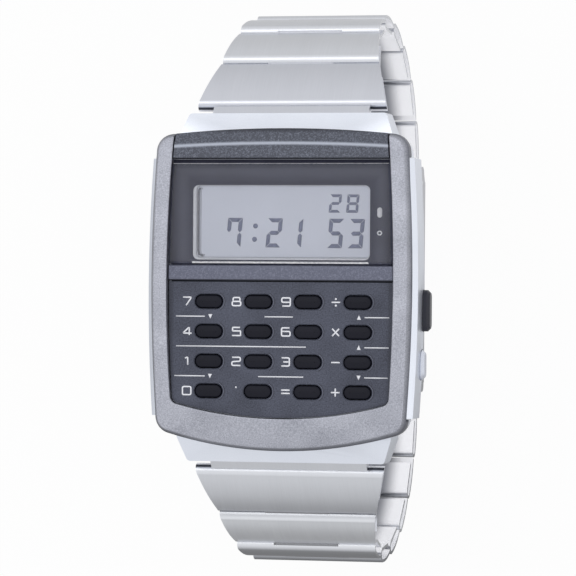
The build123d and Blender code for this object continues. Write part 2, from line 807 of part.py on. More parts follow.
# Side buttons: a pill head with a spring pocket, its stem and the disc clip that keeps it in
def make_button(button_y, button_depth, button_length, button_height, proud):
    axis_point = (button_y, level(button_depth))
    head_end_x = case_half_width + proud
    with BuildPart() as button:
        with BuildSketch(Plane.YZ.offset(head_floor_x)):
            with Locations(axis_point):
                SlotOverall(button_length, button_height)
        extrude(amount=head_end_x - head_floor_x)
        chamfer(button.faces().sort_by(Axis.X)[-1].edges(), button_edge)
        with BuildSketch(Plane.YZ.offset(head_floor_x)):
            with Locations(axis_point):
                Circle(spring_radius + button_fit)
        extrude(amount=spring_pocket, mode=Mode.SUBTRACT)
        with BuildSketch(Plane.YZ.offset(stem_end_x)):
            with Locations(axis_point):
                Circle(stem_radius)
        extrude(amount=head_floor_x + spring_pocket - stem_end_x)
        with BuildSketch(Plane.YZ.offset(clip_bay_x - button_fit)):
            with Locations(axis_point):
                Circle(clip_disc_radius)
        extrude(amount=-clip_disc_thickness)
    return button


mode_button = make_button(mode_y, mode_depth, mode_length, mode_height, mode_proud)
mode_button.part.label = "mode_button"
export_step(mode_button.part, "parts/mode_button.step")
adjust_button = make_button(adjust_y, adjust_depth, adjust_length, adjust_height, adjust_proud)
adjust_button.part.label = "adjust_button"
export_step(adjust_button.part, "parts/adjust_button.step")

with BuildPart() as button_springs:
    for button_y, button_depth, button_length, button_height in button_places:
        with BuildSketch(Plane.YZ.offset(recess_floor_x)):
            with Locations((button_y, level(button_depth))):
                Circle(spring_radius)
                Circle(spring_radius - spring_wall, mode=Mode.SUBTRACT)
        extrude(amount=head_floor_x + spring_pocket - button_travel - button_fit - recess_floor_x)
button_springs.part.label = "button_springs"
export_step(button_springs.part, "parts/button_springs.step")

with BuildPart() as button_seals:
    for button_y, button_depth, button_length, button_height in button_places:
        with BuildSketch(Plane.YZ.offset(seal_x - seal_width / 2 + stem_fit)):
            with Locations((button_y, level(button_depth))):
                Circle(seal_radius)
                Circle(stem_radius + stem_fit, mode=Mode.SUBTRACT)
        extrude(amount=seal_width - 2 * stem_fit)
button_seals.part.label = "button_seals"
export_step(button_seals.part, "parts/button_seals.step")


# Spring bars that carry the band at both ends of the case
def make_spring_bar(side):
    with BuildPart() as spring_bar:
        with BuildSketch(Plane.YZ):
            with Locations((side * bar_y, level(bar_axis_depth))):
                Circle(bar_radius)
        extrude(amount=bar_half_length, both=True)
        with BuildSketch(Plane.YZ):
            with Locations((side * bar_y, level(bar_axis_depth))):
                Circle(bar_tip_radius)
        extrude(amount=bar_tip_half_length, both=True)
    return spring_bar


upper_spring_bar = make_spring_bar(1)
upper_spring_bar.part.label = "upper_spring_bar"
export_step(upper_spring_bar.part, "parts/upper_spring_bar.step")
lower_spring_bar = make_spring_bar(-1)
lower_spring_bar.part.label = "lower_spring_bar"
export_step(lower_spring_bar.part, "parts/lower_spring_bar.step")


# Bracelet links. Each is one folded sheet: a crowned cover, a rolled nose round its pin, a floor,
# and a narrow tongue that reaches back to the pin of the next link.
def band_width(run):
    share = max(0.0, 1.0 - run / band_taper_run) ** band_taper_power
    return band_end_width + (band_start_width - band_end_width) * share


def link_plane(side, index):
    """Plane of a link's side view: origin on its front pin, x along the link, y outwards."""
    y, depth = chain[index]
    angle = radians(link_angles[index])
    along = (0, side * cos(angle), -sin(angle))
    return Plane(origin=(0, side * y, level(depth)), x_dir=along, z_dir=(side, 0, 0))


def plan_plane(side, index):
    """Plane through the same pin, seen from outside the band, x along the link."""
    profile = link_plane(side, index)
    return Plane(origin=profile.origin, x_dir=profile.x_dir, z_dir=profile.y_dir)


def tongue_outline(pitch, start, floor):
    """Side view of a tongue: up from the floor, then straight to the next pin."""
    half = tongue_sheet / 2
    with BuildSketch() as outline:
        with BuildLine():
            Polyline((start, -floor), (pitch - floor_setback, -floor), (pitch - ramp_setback, -half),
                     (pitch, -half), (pitch, half), (pitch - ramp_setback - half, half),
                     (pitch - floor_setback - half, sheet - floor), (start, sheet - floor), close=True)
        make_face()
        with Locations((pitch, 0)):
            Circle(barrel_radius)
    return outline.sketch


def cover_outline(start, pitch):
    """Side view of the folded sheet round the pin at start, open to the rear."""
    inner = nose_radius - sheet
    rear = pitch - nose_radius - rear_gap
    rear_height = nose_radius - rear_drop
    middle = (start + rear) / 2
    peak = nose_radius - rear_drop / 2 + crown
    floor_end = pitch - floor_setback
    with BuildSketch() as outline:
        with BuildLine():
            ThreePointArc((start, nose_radius), (middle, peak), (rear, rear_height))
            Line((rear, rear_height), (rear, rear_height - sheet))
            ThreePointArc((rear, rear_height - sheet), (middle, peak - sheet), (start, inner))
            ThreePointArc((start, inner), (start - inner, 0), (start, -inner))
            Polyline((start, -inner), (floor_end, -inner), (floor_end, -nose_radius), (start, -nose_radius))
            ThreePointArc((start, -nose_radius), (start - nose_radius, 0), (start, nose_radius))
        make_face()
    return outline.sketch


def taper_outline(start, pitch, front_width, rear_width):
    """Plan of a link, seen from outside the band, wide enough behind for its tongue."""
    tail = pitch + overrun
    head = start - nose_radius - overrun
    slope = (rear_width - front_width) / (pitch - start)
    head_width = front_width + slope * (head - start)
    tail_width = front_width + slope * (tail - start)
    with BuildSketch() as outline:
        with BuildLine():
            Polyline((head, -head_width / 2), (tail, -tail_width / 2), (tail, tail_width / 2),
                     (head, head_width / 2), close=True)
        make_face()
    return outline.sketch


def slot_outline(bend):
    """Wedge of the nose that is left open for the tongue of the link in front."""
    reach = nose_radius + bar_edge
    top = tongue_sheet / 2 + slot_room
    bottom = radians(180 + bend + slot_angle)
    back = radians(180 + bend / 2)
    with BuildSketch() as outline:
        with BuildLine():
            Polyline((0, 0), (0, top), (-2 * reach, top),
                     (2 * reach * cos(back), 2 * reach * sin(back)),
                     (reach * cos(bottom), reach * sin(bottom)), close=True)
        make_face()
    return outline.sketch


def run_before(index):
    return 0.0 if index == 0 else end_pitch - end_nose_offset + (index - 1) * link_pitch


def tongue_span(side, index):
    """The tongue at the clasp fills the space between the cover's lugs, the others are narrow."""
    at_clasp = side > 0 and index == len(link_angles) - 1
    return cover_width - 2 * cover_wall - 2 * spring_tip_gap if at_clasp else tongue_width


def make_link(side, index):
    """One link behind the end link, with its pin as a second solid."""
    profile = link_plane(side, index)
    front_width = band_width(run_before(index))
    rear_width = band_width(run_before(index) + link_pitch)
    sleeve_start = tongue_width / 2 + tongue_side_fit
    with BuildPart() as link:
        with BuildSketch(profile):
            add(cover_outline(0, link_pitch))
        extrude(amount=front_width, both=True)
        with BuildSketch(plan_plane(side, index)):
            add(taper_outline(0, link_pitch, front_width, rear_width))
        extrude(amount=overrun, both=True, mode=Mode.INTERSECT)
        with BuildSketch(profile):
            add(slot_outline(bend_at(index)))
        extrude(amount=sleeve_start, both=True, mode=Mode.SUBTRACT)
        for way in (1, -1):
            with BuildSketch(profile.offset(way * sleeve_start)):
                Circle(nose_radius - sheet + pin_fit)
            extrude(amount=way * sleeve_length)
        with BuildSketch(profile):
            add(tongue_outline(link_pitch, link_pitch - floor_setback - floor_overlap, nose_radius))
        extrude(amount=tongue_span(side, index) / 2, both=True)
        with BuildSketch(profile):
            with Locations((link_pitch, 0)):
                Circle(pin_radius + pin_fit)
        extrude(amount=front_width, both=True, mode=Mode.SUBTRACT)
        with BuildSketch(profile):
            Circle(pin_radius)
        extrude(amount=front_width, both=True, mode=Mode.SUBTRACT)
    with BuildPart() as pins:
        with BuildSketch(profile):
            Circle(pin_radius)
        extrude(amount=front_width / 2 - pin_inset, both=True)
        if tongue_span(side, index) > tongue_width:
            # the spring bar at the clasp, its tips drawn in between the cover's lugs
            with BuildSketch(profile):
                with Locations((link_pitch, 0)):
                    Circle(pin_radius)
            extrude(amount=tongue_span(side, index) / 2, both=True)
    return Compound(children=[link.part, pins.part])


def make_end_link(side):
    """The first piece of the band: a wide tongue on the spring bar under a plate with a rolled front."""
    profile = link_plane(side, 0)
    rear_width = band_width(run_before(1))
    with BuildPart() as link:
        with BuildSketch(profile):
            add(cover_outline(end_nose_offset, end_pitch))
        extrude(amount=band_start_width, both=True)
        with BuildSketch(plan_plane(side, 0)):
            add(taper_outline(end_nose_offset, end_pitch, band_start_width, rear_width))
        extrude(amount=overrun, both=True, mode=Mode.INTERSECT)
        with BuildSketch(profile):
            with BuildLine():
                Polyline((0, -end_tongue_sheet / 2), (end_nose_offset, -end_tongue_sheet / 2),
                         (end_nose_offset, end_tongue_sheet / 2), (0, end_tongue_sheet / 2), close=True)
            make_face()
            Circle(end_barrel_radius)
        extrude(amount=notch_half_width - tongue_clearance, both=True)
        with BuildSketch(profile):
            Circle(bar_radius + bar_fit)
        extrude(amount=notch_half_width, both=True, mode=Mode.SUBTRACT)
        with BuildSketch(profile):
            add(tongue_outline(end_pitch, end_pitch - floor_setback - floor_overlap, nose_radius))
        extrude(amount=tongue_width / 2, both=True)
        with BuildSketch(profile):
            with Locations((end_pitch, 0)):
                Circle(pin_radius + pin_fit)
        extrude(amount=tongue_width, both=True, mode=Mode.SUBTRACT)
    return link


for side, side_name in ((1, "upper"), (-1, "lower")):
    end_link = make_end_link(side)
    end_link.part.label = side_name + "_end_link"
    export_step(end_link.part, "parts/" + side_name + "_end_link.step")
    for index in range(1, len(link_angles)):
        link = make_link(side, index)
        link.label = side_name + "_link_" + str(index)
        export_step(link, "parts/" + side_name + "_link_" + str(index) + ".step")


# Clasp: the base on the lower band, the folding blade and the cover that shuts over both
base_depth = clasp_depth - base_offset
base_under = base_depth + base_sheet
blade_depth = clasp_depth + hinge_offset - blade_sheet / 2
knuckle_inner = blade_width / 2 - sleeve_length
hinge_depth = clasp_depth + hinge_offset
cover_floor_depth = face_height - cover_floor
wall_inner = cover_width / 2 - cover_wall

with BuildPart() as clasp_base:
    with BuildSketch(Plane.YZ):
        with BuildLine():
            Polyline((-clasp_y, level(base_depth)), (fold_y, level(base_depth)), (fold_y, level(base_under)),
                     (-clasp_y, level(base_under)), close=True)
        make_face()
        with Locations((-clasp_y, level(clasp_depth))):
            Circle(base_knuckle_radius)
        with Locations((fold_y, level(clasp_depth))):
            Circle(fold_knuckle_radius)
    extrude(amount=base_width / 2, both=True)
    # the roll at the band end is open where the last link's tongue enters it
    with BuildSketch(Plane.YZ):
        with Locations((-clasp_y, level(clasp_depth))):
            Circle(barrel_radius + bar_fit)
            Rectangle(2 * base_knuckle_radius + sheet, 2 * tongue_sheet, align=(Align.MAX, Align.CENTER))
    extrude(amount=tongue_width / 2 + tongue_side_fit, both=True, mode=Mode.SUBTRACT)
    with BuildSketch(Plane.YZ):
        with Locations((-clasp_y, level(clasp_depth))):
            Circle(pin_radius)
        with Locations((fold_y, level(clasp_depth))):
            Circle(clasp_pin_radius)
    extrude(amount=base_width, both=True, mode=Mode.SUBTRACT)
    # the blade's knuckle stands in the middle of the fold
    with BuildSketch(Plane.YZ):
        with Locations((fold_y, level(clasp_depth))):
            Circle(fold_knuckle_radius + button_fit)
    extrude(amount=knuckle_inner + side_fit, both=True, mode=Mode.SUBTRACT)
    with BuildSketch(Plane.XY.offset(level(base_depth))):
        with Locations((0, (fold_y - clasp_y) / 2)):
            RectangleRounded(base_width - 2 * sleeve_length, base_lock_length, base_lock_rise)
    extrude(amount=base_lock_rise)
with BuildPart() as base_pins:
    with BuildSketch(Plane.YZ):
        with Locations((-clasp_y, level(clasp_depth))):
            Circle(pin_radius)
        with Locations((fold_y, level(clasp_depth))):
            Circle(clasp_pin_radius)
    extrude(amount=base_width / 2 - stem_fit, both=True)
base_assembly = Compound(label="clasp_base", children=[clasp_base.part, base_pins.part])
export_step(base_assembly, "parts/clasp_base.step")

with BuildPart() as clasp_blade:
    with BuildSketch(Plane.YZ):
        with BuildLine():
            Polyline((hinge_y, level(blade_depth)), (fold_y, level(blade_depth)),
                     (fold_y, level(blade_depth + blade_sheet)),
                     (hinge_y, level(blade_depth + blade_sheet)), close=True)
        make_face()
        with Locations((hinge_y, level(hinge_depth))):
            Circle(hinge_barrel_radius)
    extrude(amount=blade_width / 2, both=True)
    with BuildSketch(Plane.YZ):
        with Locations((fold_y, level(clasp_depth))):
            Circle(fold_knuckle_radius + button_fit)
    extrude(amount=base_width, both=True, mode=Mode.SUBTRACT)
    with BuildSketch(Plane.YZ):
        with Locations((fold_y, level(clasp_depth))):
            Circle(fold_knuckle_radius)
        with BuildLine():
            Polyline((fold_y - 2 * fold_knuckle_radius, level(blade_depth)), (fold_y, level(blade_depth)),
                     (fold_y, level(blade_depth + blade_sheet)),
                     (fold_y - 2 * fold_knuckle_radius, level(blade_depth + blade_sheet)), close=True)
        make_face()
    extrude(amount=knuckle_inner, both=True)
    with BuildSketch(Plane.YZ):
        with Locations((hinge_y, level(hinge_depth))):
            Circle(clasp_pin_radius + clasp_pin_fit)
        with Locations((fold_y, level(clasp_depth))):
            Circle(clasp_pin_radius + clasp_pin_fit)
    extrude(amount=base_width, both=True, mode=Mode.SUBTRACT)
clasp_blade.part.label = "clasp_blade"
export_step(clasp_blade.part, "parts/clasp_blade.step")

floor_end_y = clasp_y - nose_radius - rear_gap
wall_depth = cover_floor_depth - cover_wall_rise

with BuildPart() as clasp_cover:
    # a shallow channel; its floor starts beside the hinge and ends short of the band's last barrel
    with BuildSketch(Plane.XZ.offset(-floor_end_y)):
        with BuildLine():
            half = cover_width / 2
            Polyline((-half + cover_edge, level(face_height)), (half - cover_edge, level(face_height)),
                     (half, level(face_height - cover_edge)), (half, level(wall_depth)),
                     (wall_inner, level(wall_depth)), (wall_inner, level(cover_floor_depth)),
                     (-wall_inner, level(cover_floor_depth)), (-wall_inner, level(wall_depth)),
                     (-half, level(wall_depth)), (-half, level(face_height - cover_edge)), close=True)
        make_face()
    extrude(amount=floor_end_y - hinge_y - floor_start)
    # its walls run on to lugs: one pair holds the hinge pin, the other the band's last barrel
    for way in (1, -1):
        with BuildSketch(Plane.YZ.offset(way * wall_inner)):
            for lug_y, lug_depth in ((clasp_y, clasp_depth), (hinge_y, hinge_depth)):
                with Locations((lug_y, level(lug_depth))):
                    Circle(lug_radius)
            with BuildLine():
                Polyline((hinge_y, level(hinge_depth + lug_radius)),
                         (floor_end_y, level(hinge_depth + lug_radius)),
                         (clasp_y, level(clasp_depth + lug_radius)),
                         (clasp_y, level(clasp_depth - lug_radius)),
                         (floor_end_y, level(wall_depth)), (hinge_y + lug_radius, level(wall_depth)),
                         (hinge_y, level(hinge_depth - lug_radius)), close=True)
            make_face()
        extrude(amount=way * cover_wall)
with BuildPart() as cover_pin:
    with BuildSketch(Plane.YZ):
        with Locations((hinge_y, level(hinge_depth))):
            Circle(clasp_pin_radius)
    extrude(amount=wall_inner, both=True)
cover_assembly = Compound(label="clasp_cover", children=[clasp_cover.part, cover_pin.part])
export_step(cover_assembly, "parts/clasp_cover.step")
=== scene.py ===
import math

import bmesh
import bpy
import numpy as np
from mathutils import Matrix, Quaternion, Vector


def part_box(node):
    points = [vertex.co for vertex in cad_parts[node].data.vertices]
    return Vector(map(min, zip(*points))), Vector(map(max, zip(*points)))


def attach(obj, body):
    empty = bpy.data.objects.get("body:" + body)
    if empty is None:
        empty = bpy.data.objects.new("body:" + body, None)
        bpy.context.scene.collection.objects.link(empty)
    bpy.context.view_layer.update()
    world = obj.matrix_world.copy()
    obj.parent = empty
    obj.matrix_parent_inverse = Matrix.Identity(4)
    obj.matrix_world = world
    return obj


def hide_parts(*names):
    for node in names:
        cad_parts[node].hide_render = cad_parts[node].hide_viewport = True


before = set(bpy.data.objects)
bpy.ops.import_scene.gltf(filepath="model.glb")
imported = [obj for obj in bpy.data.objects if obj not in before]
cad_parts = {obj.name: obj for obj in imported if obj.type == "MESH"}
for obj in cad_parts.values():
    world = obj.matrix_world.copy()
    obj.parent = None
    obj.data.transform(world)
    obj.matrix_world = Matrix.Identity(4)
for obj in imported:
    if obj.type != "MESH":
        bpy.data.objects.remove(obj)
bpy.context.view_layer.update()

mm = 0.001
imageSide = 576
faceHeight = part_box("bezel_frame")[1].z        # top of the bezel, the level that depths are measured from
print("frame loaded")


def level(depth):
    return faceHeight - depth * mm


# camera: the photograph's view, a little from the 3 o'clock side
viewing = {"yaw": 14.028, "pitch": -0.106, "roll": 0.432, "distance": 472.9, "focalPixels": 3858.9,
           "faceAt": (278.466, 287.701), "sensor": 36, "nearest": 0.01, "farthest": 20}


def makeCamera(v):
    yaw, pitch = math.radians(v["yaw"]), math.radians(v["pitch"])
    away = Vector((math.sin(yaw) * math.cos(pitch), math.sin(pitch), math.cos(yaw) * math.cos(pitch)))
    faceCentre = Vector((0, 0, faceHeight))
    right = Vector((0, 1, 0)).cross(away).normalized()
    up = away.cross(right)
    pixel = v["distance"] * mm / v["focalPixels"]
    middle = imageSide / 2
    eye = faceCentre + away * v["distance"] * mm
    aim = faceCentre + right * (middle - v["faceAt"][0]) * pixel - up * (middle - v["faceAt"][1]) * pixel
    look = (aim - eye).to_track_quat("-Z", "Y")
    upNow = look @ Vector((0, 1, 0))
    sideNow = look @ Vector((1, 0, 0))
    upright = math.atan2(-sideNow.dot(up), upNow.dot(up))       # turns the picture upright before the roll
    data = bpy.data.cameras.new("photoCamera")
    data.sensor_width = v["sensor"]
    data.lens = v["focalPixels"] / imageSide * data.sensor_width
    data.clip_start, data.clip_end = v["nearest"], v["farthest"]
    camera = bpy.data.objects.new("photoCamera", data)
    camera.rotation_mode = "QUATERNION"
    camera.rotation_quaternion = look @ Quaternion((0, 0, 1), upright + math.radians(v["roll"]))
    camera.location = eye
    bpy.context.collection.objects.link(camera)
    bpy.context.scene.camera = camera


makeCamera(viewing)
bpy.context.scene.view_settings.view_transform = "Standard"
print("camera set")


# node helpers
# A colour written 0 to 255 as it looks, as linear values
def srgb(red, green, blue):
    values = np.array([red, green, blue]) / 255
    linear = np.where(values > 0.04045, ((values + 0.055) / 1.055) ** 2.4, values / 12.92)
    return (*linear.tolist(), 1.0)


def addNode(tree, kind, **settings):
    node = tree.nodes.new(kind)
    for name, value in settings.items():
        setattr(node, name, value)
    return node


# What goes into a socket: a link where it comes from a node, otherwise a number, vector or colour
def feed(tree, socket, value):
    if isinstance(value, bpy.types.NodeSocket):
        tree.links.new(value, socket)
    elif value is not None:
        socket.default_value = value


def mathNode(tree, operation, first, second=None):
    node = addNode(tree, "ShaderNodeMath", operation=operation)
    feed(tree, node.inputs[0], first)
    feed(tree, node.inputs[1], second)
    return node.outputs[0]


def product(tree, first, second):
    return mathNode(tree, "MULTIPLY", first, second)


def absolute(tree, value):
    return mathNode(tree, "ABSOLUTE", value)


def largest(tree, first, *others):
    for other in others:
        first = mathNode(tree, "MAXIMUM", first, other)
    return first


def vectorNode(tree, operation, first, second=None):
    node = addNode(tree, "ShaderNodeVectorMath", operation=operation)
    feed(tree, node.inputs[0], first)
    feed(tree, node.inputs[1], second)
    return node.outputs["Value" if operation == "DOT_PRODUCT" else "Vector"]


def splitVector(tree, vector):
    node = addNode(tree, "ShaderNodeSeparateXYZ")
    tree.links.new(vector, node.inputs[0])
    return node.outputs


def rangeNode(tree, value, low, high, toLow, toHigh, smooth=False):
    node = addNode(tree, "ShaderNodeMapRange", interpolation_type="SMOOTHSTEP" if smooth else "LINEAR")
    for name, given in (("Value", value), ("From Min", low), ("From Max", high),
                        ("To Min", toLow), ("To Max", toHigh)):
        feed(tree, node.inputs[name], given)
    return node.outputs["Result"]


# A smooth run from 0, where the value is clear, to the most, where it is full
def fade(tree, value, clear, full, most=1.0):
    return rangeNode(tree, value, clear, full, 0.0, most, True)


noiseSpan = (0.3, 0.7)                          # where nearly all of a noise's values lie


def spread(tree, value, toLow, toHigh):
    return rangeNode(tree, value, *noiseSpan, toLow, toHigh)


# The factor, the first colour and the second are sockets 0, 6 and 7 of a Mix node, its colour is output 2
def mixColour(tree, factor, first, second):
    node = addNode(tree, "ShaderNodeMix", data_type="RGBA")
    for number, value in ((0, factor), (6, first), (7, second)):
        feed(tree, node.inputs[number], value)
    return node.outputs[2]


# Ends a material with a mix of two shaders
def mixShaders(tree, factor, first, second):
    mix = addNode(tree, "ShaderNodeMixShader")
    for socket, value in zip(mix.inputs, (factor, first.outputs[0], second.outputs[0])):
        tree.links.new(value, socket)
    tree.links.new(mix.outputs[0], tree.nodes["Material Output"].inputs["Surface"])


def noise(tree, vector, scale, detail, roughness):
    node = addNode(tree, "ShaderNodeTexNoise")
    for name, value in (("Vector", vector), ("Scale", scale), ("Detail", detail), ("Roughness", roughness)):
        feed(tree, node.inputs[name], value)
    return node.outputs["Fac"]


usualScale, usualBump = 9000.0, 0.000004
grainLook = {"detail": 2.0, "roughness": 0.6,
             "cloudScale": 260.0, "cloudDetail": 1.0, "cloudRoughness": 0.5,
             "fineShare": 0.75, "smoother": 0.04, "rougher": 0.05}
brushLook = {"lines": (1.0, 0.02, 0.02), "detail": 4.0, "roughness": 0.65,
             "patches": (1.0, 0.2, 0.2), "patchScale": 420.0, "patchDetail": 2.0, "patchRoughness": 0.5,
             "fineShare": 0.7, "smoother": 0.05, "rougher": 0.06}
flakeLook = {"dull": 0.35, "bright": 1.0, "grainScale": 0.6, "grain": (0.35, 0.65, 0.35, 1.0),
             "coat": 0.35, "coatRoughness": 0.2, "smoother": 0.08, "rougher": 0.12, "bump": 0.000006}


# Fine even grain plus broad, faint clouding
def buildGrain(tree, given):
    g = grainLook
    fine = noise(tree, given["Position"], given["Scale"], g["detail"], g["roughness"])
    broad = noise(tree, given["Position"], g["cloudScale"], g["cloudDetail"], g["cloudRoughness"])
    return {"Grain": fine, "Cloud": broad}


# Hair lines that run along the band: noise squeezed across X and drawn out along Y and Z
def buildBrush(tree, given):
    b = brushLook
    along = vectorNode(tree, "MULTIPLY", given["Position"], b["lines"])
    lines = noise(tree, along, given["Scale"], b["detail"], b["roughness"])
    wider = vectorNode(tree, "MULTIPLY", given["Position"], b["patches"])
    patches = noise(tree, wider, b["patchScale"], b["patchDetail"], b["patchRoughness"])
    return {"Lines": lines, "Patches": patches}


# Small bright cells among dark ones, as flakes in a lacquer
def buildFlakes(tree, given):
    cells = addNode(tree, "ShaderNodeTexVoronoi", feature="F1")
    tree.links.new(given["Position"], cells.inputs["Vector"])
    tree.links.new(given["Scale"], cells.inputs["Scale"])
    split = addNode(tree, "ShaderNodeSeparateColor")
    tree.links.new(cells.outputs["Color"], split.inputs["Color"])
    amount = rangeNode(tree, split.outputs[0], flakeLook["dull"], flakeLook["bright"], 0.0, 1.0)
    return {"Flakes": amount, "Tilt": split.outputs[1]}


# A shared effect: a shader node group with a position, a scale and named outputs
def makeGroup(name, outputs, build):
    tree = bpy.data.node_groups.new(name, "ShaderNodeTree")
    tree.interface.new_socket(name="Position", in_out="INPUT", socket_type="NodeSocketVector")
    scale = tree.interface.new_socket(name="Scale", in_out="INPUT", socket_type="NodeSocketFloat")
    scale.default_value = usualScale
    for socketName in outputs:
        tree.interface.new_socket(name=socketName, in_out="OUTPUT", socket_type="NodeSocketFloat")
    entry, leaving = tree.nodes.new("NodeGroupInput"), tree.nodes.new("NodeGroupOutput")
    for socketName, result in build(tree, entry.outputs).items():
        tree.links.new(result, leaving.inputs[socketName])
    return tree


grainGroup = makeGroup("fineGrain", ("Grain", "Cloud"), buildGrain)
brushGroup = makeGroup("hairLines", ("Lines", "Patches"), buildBrush)
flakeGroup = makeGroup("lacquerFlakes", ("Flakes", "Tilt"), buildFlakes)


def useGroup(tree, group, position, scale):
    node = addNode(tree, "ShaderNodeGroup", node_tree=group)
    tree.links.new(position, node.inputs["Position"])
    node.inputs["Scale"].default_value = scale
    return node.outputs


# An empty Principled material; returns it with its tree, shader and object position
def startMaterial(name, colour, metallic, roughness, plain=None):
    material = bpy.data.materials.new(name)
    material.use_nodes = True
    tree = material.node_tree
    shader = tree.nodes["Principled BSDF"]
    sockets = {"Base Color": colour, "Metallic": metallic, "Roughness": roughness, **(plain or {})}
    for socketName, value in sockets.items():
        shader.inputs[socketName].default_value = value
    position = addNode(tree, "ShaderNodeTexCoord").outputs["Object"]
    return material, tree, shader, position


# The two tones of a finish, mixed by its fine noise and, for the rest of the share, its broad one
def mixTones(tree, fine, broad, fineShare, dark, light):
    tone = mathNode(tree, "ADD", product(tree, fine, fineShare), product(tree, broad, 1 - fineShare))
    return mixColour(tree, spread(tree, tone, 0.0, 1.0), dark, light)


def addBump(tree, shader, height, distance):
    bump = addNode(tree, "ShaderNodeBump")
    bump.inputs["Strength"].default_value = 1.0
    bump.inputs["Distance"].default_value = distance
    tree.links.new(height, bump.inputs["Height"])
    tree.links.new(bump.outputs["Normal"], shader.inputs["Normal"])


tongueShade = {"side": (0.00985, 0.01), "share": 0.95, "turned": (0.35, 0.6)}
creviceShade = {"samples": 8, "open": 0.85, "shut": 0.35}


# Painted shade between the case and the first nose beside the wide tongue: full where X is past the
# tongue's side and the face looks at the case, which is the normal's Y times the sign of the point's own Y,
# turned round
def besideTongue(tree, split):
    normal = splitVector(tree, addNode(tree, "ShaderNodeTexCoord").outputs["Normal"])
    facing = product(tree, product(tree, normal["Y"], mathNode(tree, "SIGN", split["Y"])), -1.0)
    past = rangeNode(tree, absolute(tree, split["X"]), *tongueShade["side"], 0.0, tongueShade["share"])
    return product(tree, past, fade(tree, facing, *tongueShade["turned"]))


# Painted shade in crevices and at set places: the open share of the sky within the reach turns to a
# darkening, and so does each place, as X, Y or Z running from clear to full. The largest one mixes in the
# painted shade
def addShade(tree, position, colour, shade):
    parts = []
    if "reach" in shade:
        sky = addNode(tree, "ShaderNodeAmbientOcclusion", samples=creviceShade["samples"])
        sky.inputs["Distance"].default_value = shade["reach"]
        clear = shade.get("open", creviceShade["open"])
        parts.append(fade(tree, sky.outputs["AO"], clear, creviceShade["shut"], shade["share"]))
    split = splitVector(tree, position)
    for axis, clear, full, share in shade.get("places", ()):
        along = split[axis[-1]]
        if axis.startswith("both"):
            along = absolute(tree, along)
        parts.append(fade(tree, along, clear, full, share))
    if "tongue" in shade:
        parts.append(besideTongue(tree, split))
    return mixColour(tree, largest(tree, *parts), colour, shade["colour"])


# A surface with a fine grain: colour, roughness and height all follow it
def grainMaterial(name, dark, light, metallic, roughness, scale, bump=usualBump, plain=None, shade=None):
    material, tree, shader, position = startMaterial(name, light, metallic, roughness, plain)
    g = grainLook
    grain = useGroup(tree, grainGroup, position, scale)
    colour = mixTones(tree, grain["Grain"], grain["Cloud"], g["fineShare"], dark, light)
    if shade:
        colour = addShade(tree, position, colour, shade)
    tree.links.new(colour, shader.inputs["Base Color"])
    tree.links.new(spread(tree, grain["Grain"], roughness - g["smoother"], roughness + g["rougher"]),
                   shader.inputs["Roughness"])
    addBump(tree, shader, grain["Grain"], bump)
    return material


# painted light on the inside of the links, where faces are turned to the loop's middle: a pale colour and a
# glow, with painted shade darker towards the band's middle line, paler from near to far, in metres from
# that line; and painted pale colour and glow inside the hinge slots, as Y and Z of their axes and squared
# millimetres
loopMiddle = (0.0, 0.0, faceHeight / 2)
loopInsideLight = {"colour": srgb(252, 252, 255), "deep": srgb(140, 142, 150), "near": 0.0046, "far": 0.0072,
              "turned": (0.15, 0.5), "glow": 0.2, "slotPaintedGlow": 0.2, "slotPaintedLight": srgb(208, 210, 216)}
lowInsideLight = dict(loopInsideLight, slotPaintedGlow=0.11, slotPaintedLight=srgb(150, 152, 158))
slotSizes = {"axes": ((0.0285741, 0.0340648), (0.0324759, 0.0292465)), "outer": 0.89, "inner": 0.87,
             "ends": (0.0043, 0.00425)}


# 1 where a face looks at the middle of the bracelet's loop, 0 where it looks away: the face's normal
# times the direction from the point to the loop's middle, both without their X
def facingLoop(tree, position, turned):
    toMiddle = vectorNode(tree, "SUBTRACT", loopMiddle, position)
    inward = vectorNode(tree, "NORMALIZE", vectorNode(tree, "MULTIPLY", toMiddle, (0.0, 1.0, 1.0)))
    normal = addNode(tree, "ShaderNodeTexCoord").outputs["Normal"]
    return fade(tree, vectorNode(tree, "DOT_PRODUCT", inward, normal), *turned)


# Inside of the two hinge slots nearest the case, where little light falls, which is painted pale and made
# to glow:
# 1 where the square of the way to the hinge's axis, in millimetres over Y and Z, is under the roll's own,
# and X is within the slot
def slotPaintedLightMask(tree, split):
    s = slotSizes
    near = []
    for axisY, axisZ in s["axes"]:
        squares = []
        for place, axis in ((absolute(tree, split["Y"]), axisY), (split["Z"], axisZ)):
            way = product(tree, mathNode(tree, "SUBTRACT", place, axis), 1 / mm)
            squares.append(product(tree, way, way))
        near.append(fade(tree, mathNode(tree, "ADD", *squares), s["outer"], s["inner"]))
    return product(tree, largest(tree, *near), fade(tree, absolute(tree, split["X"]), *s["ends"]))
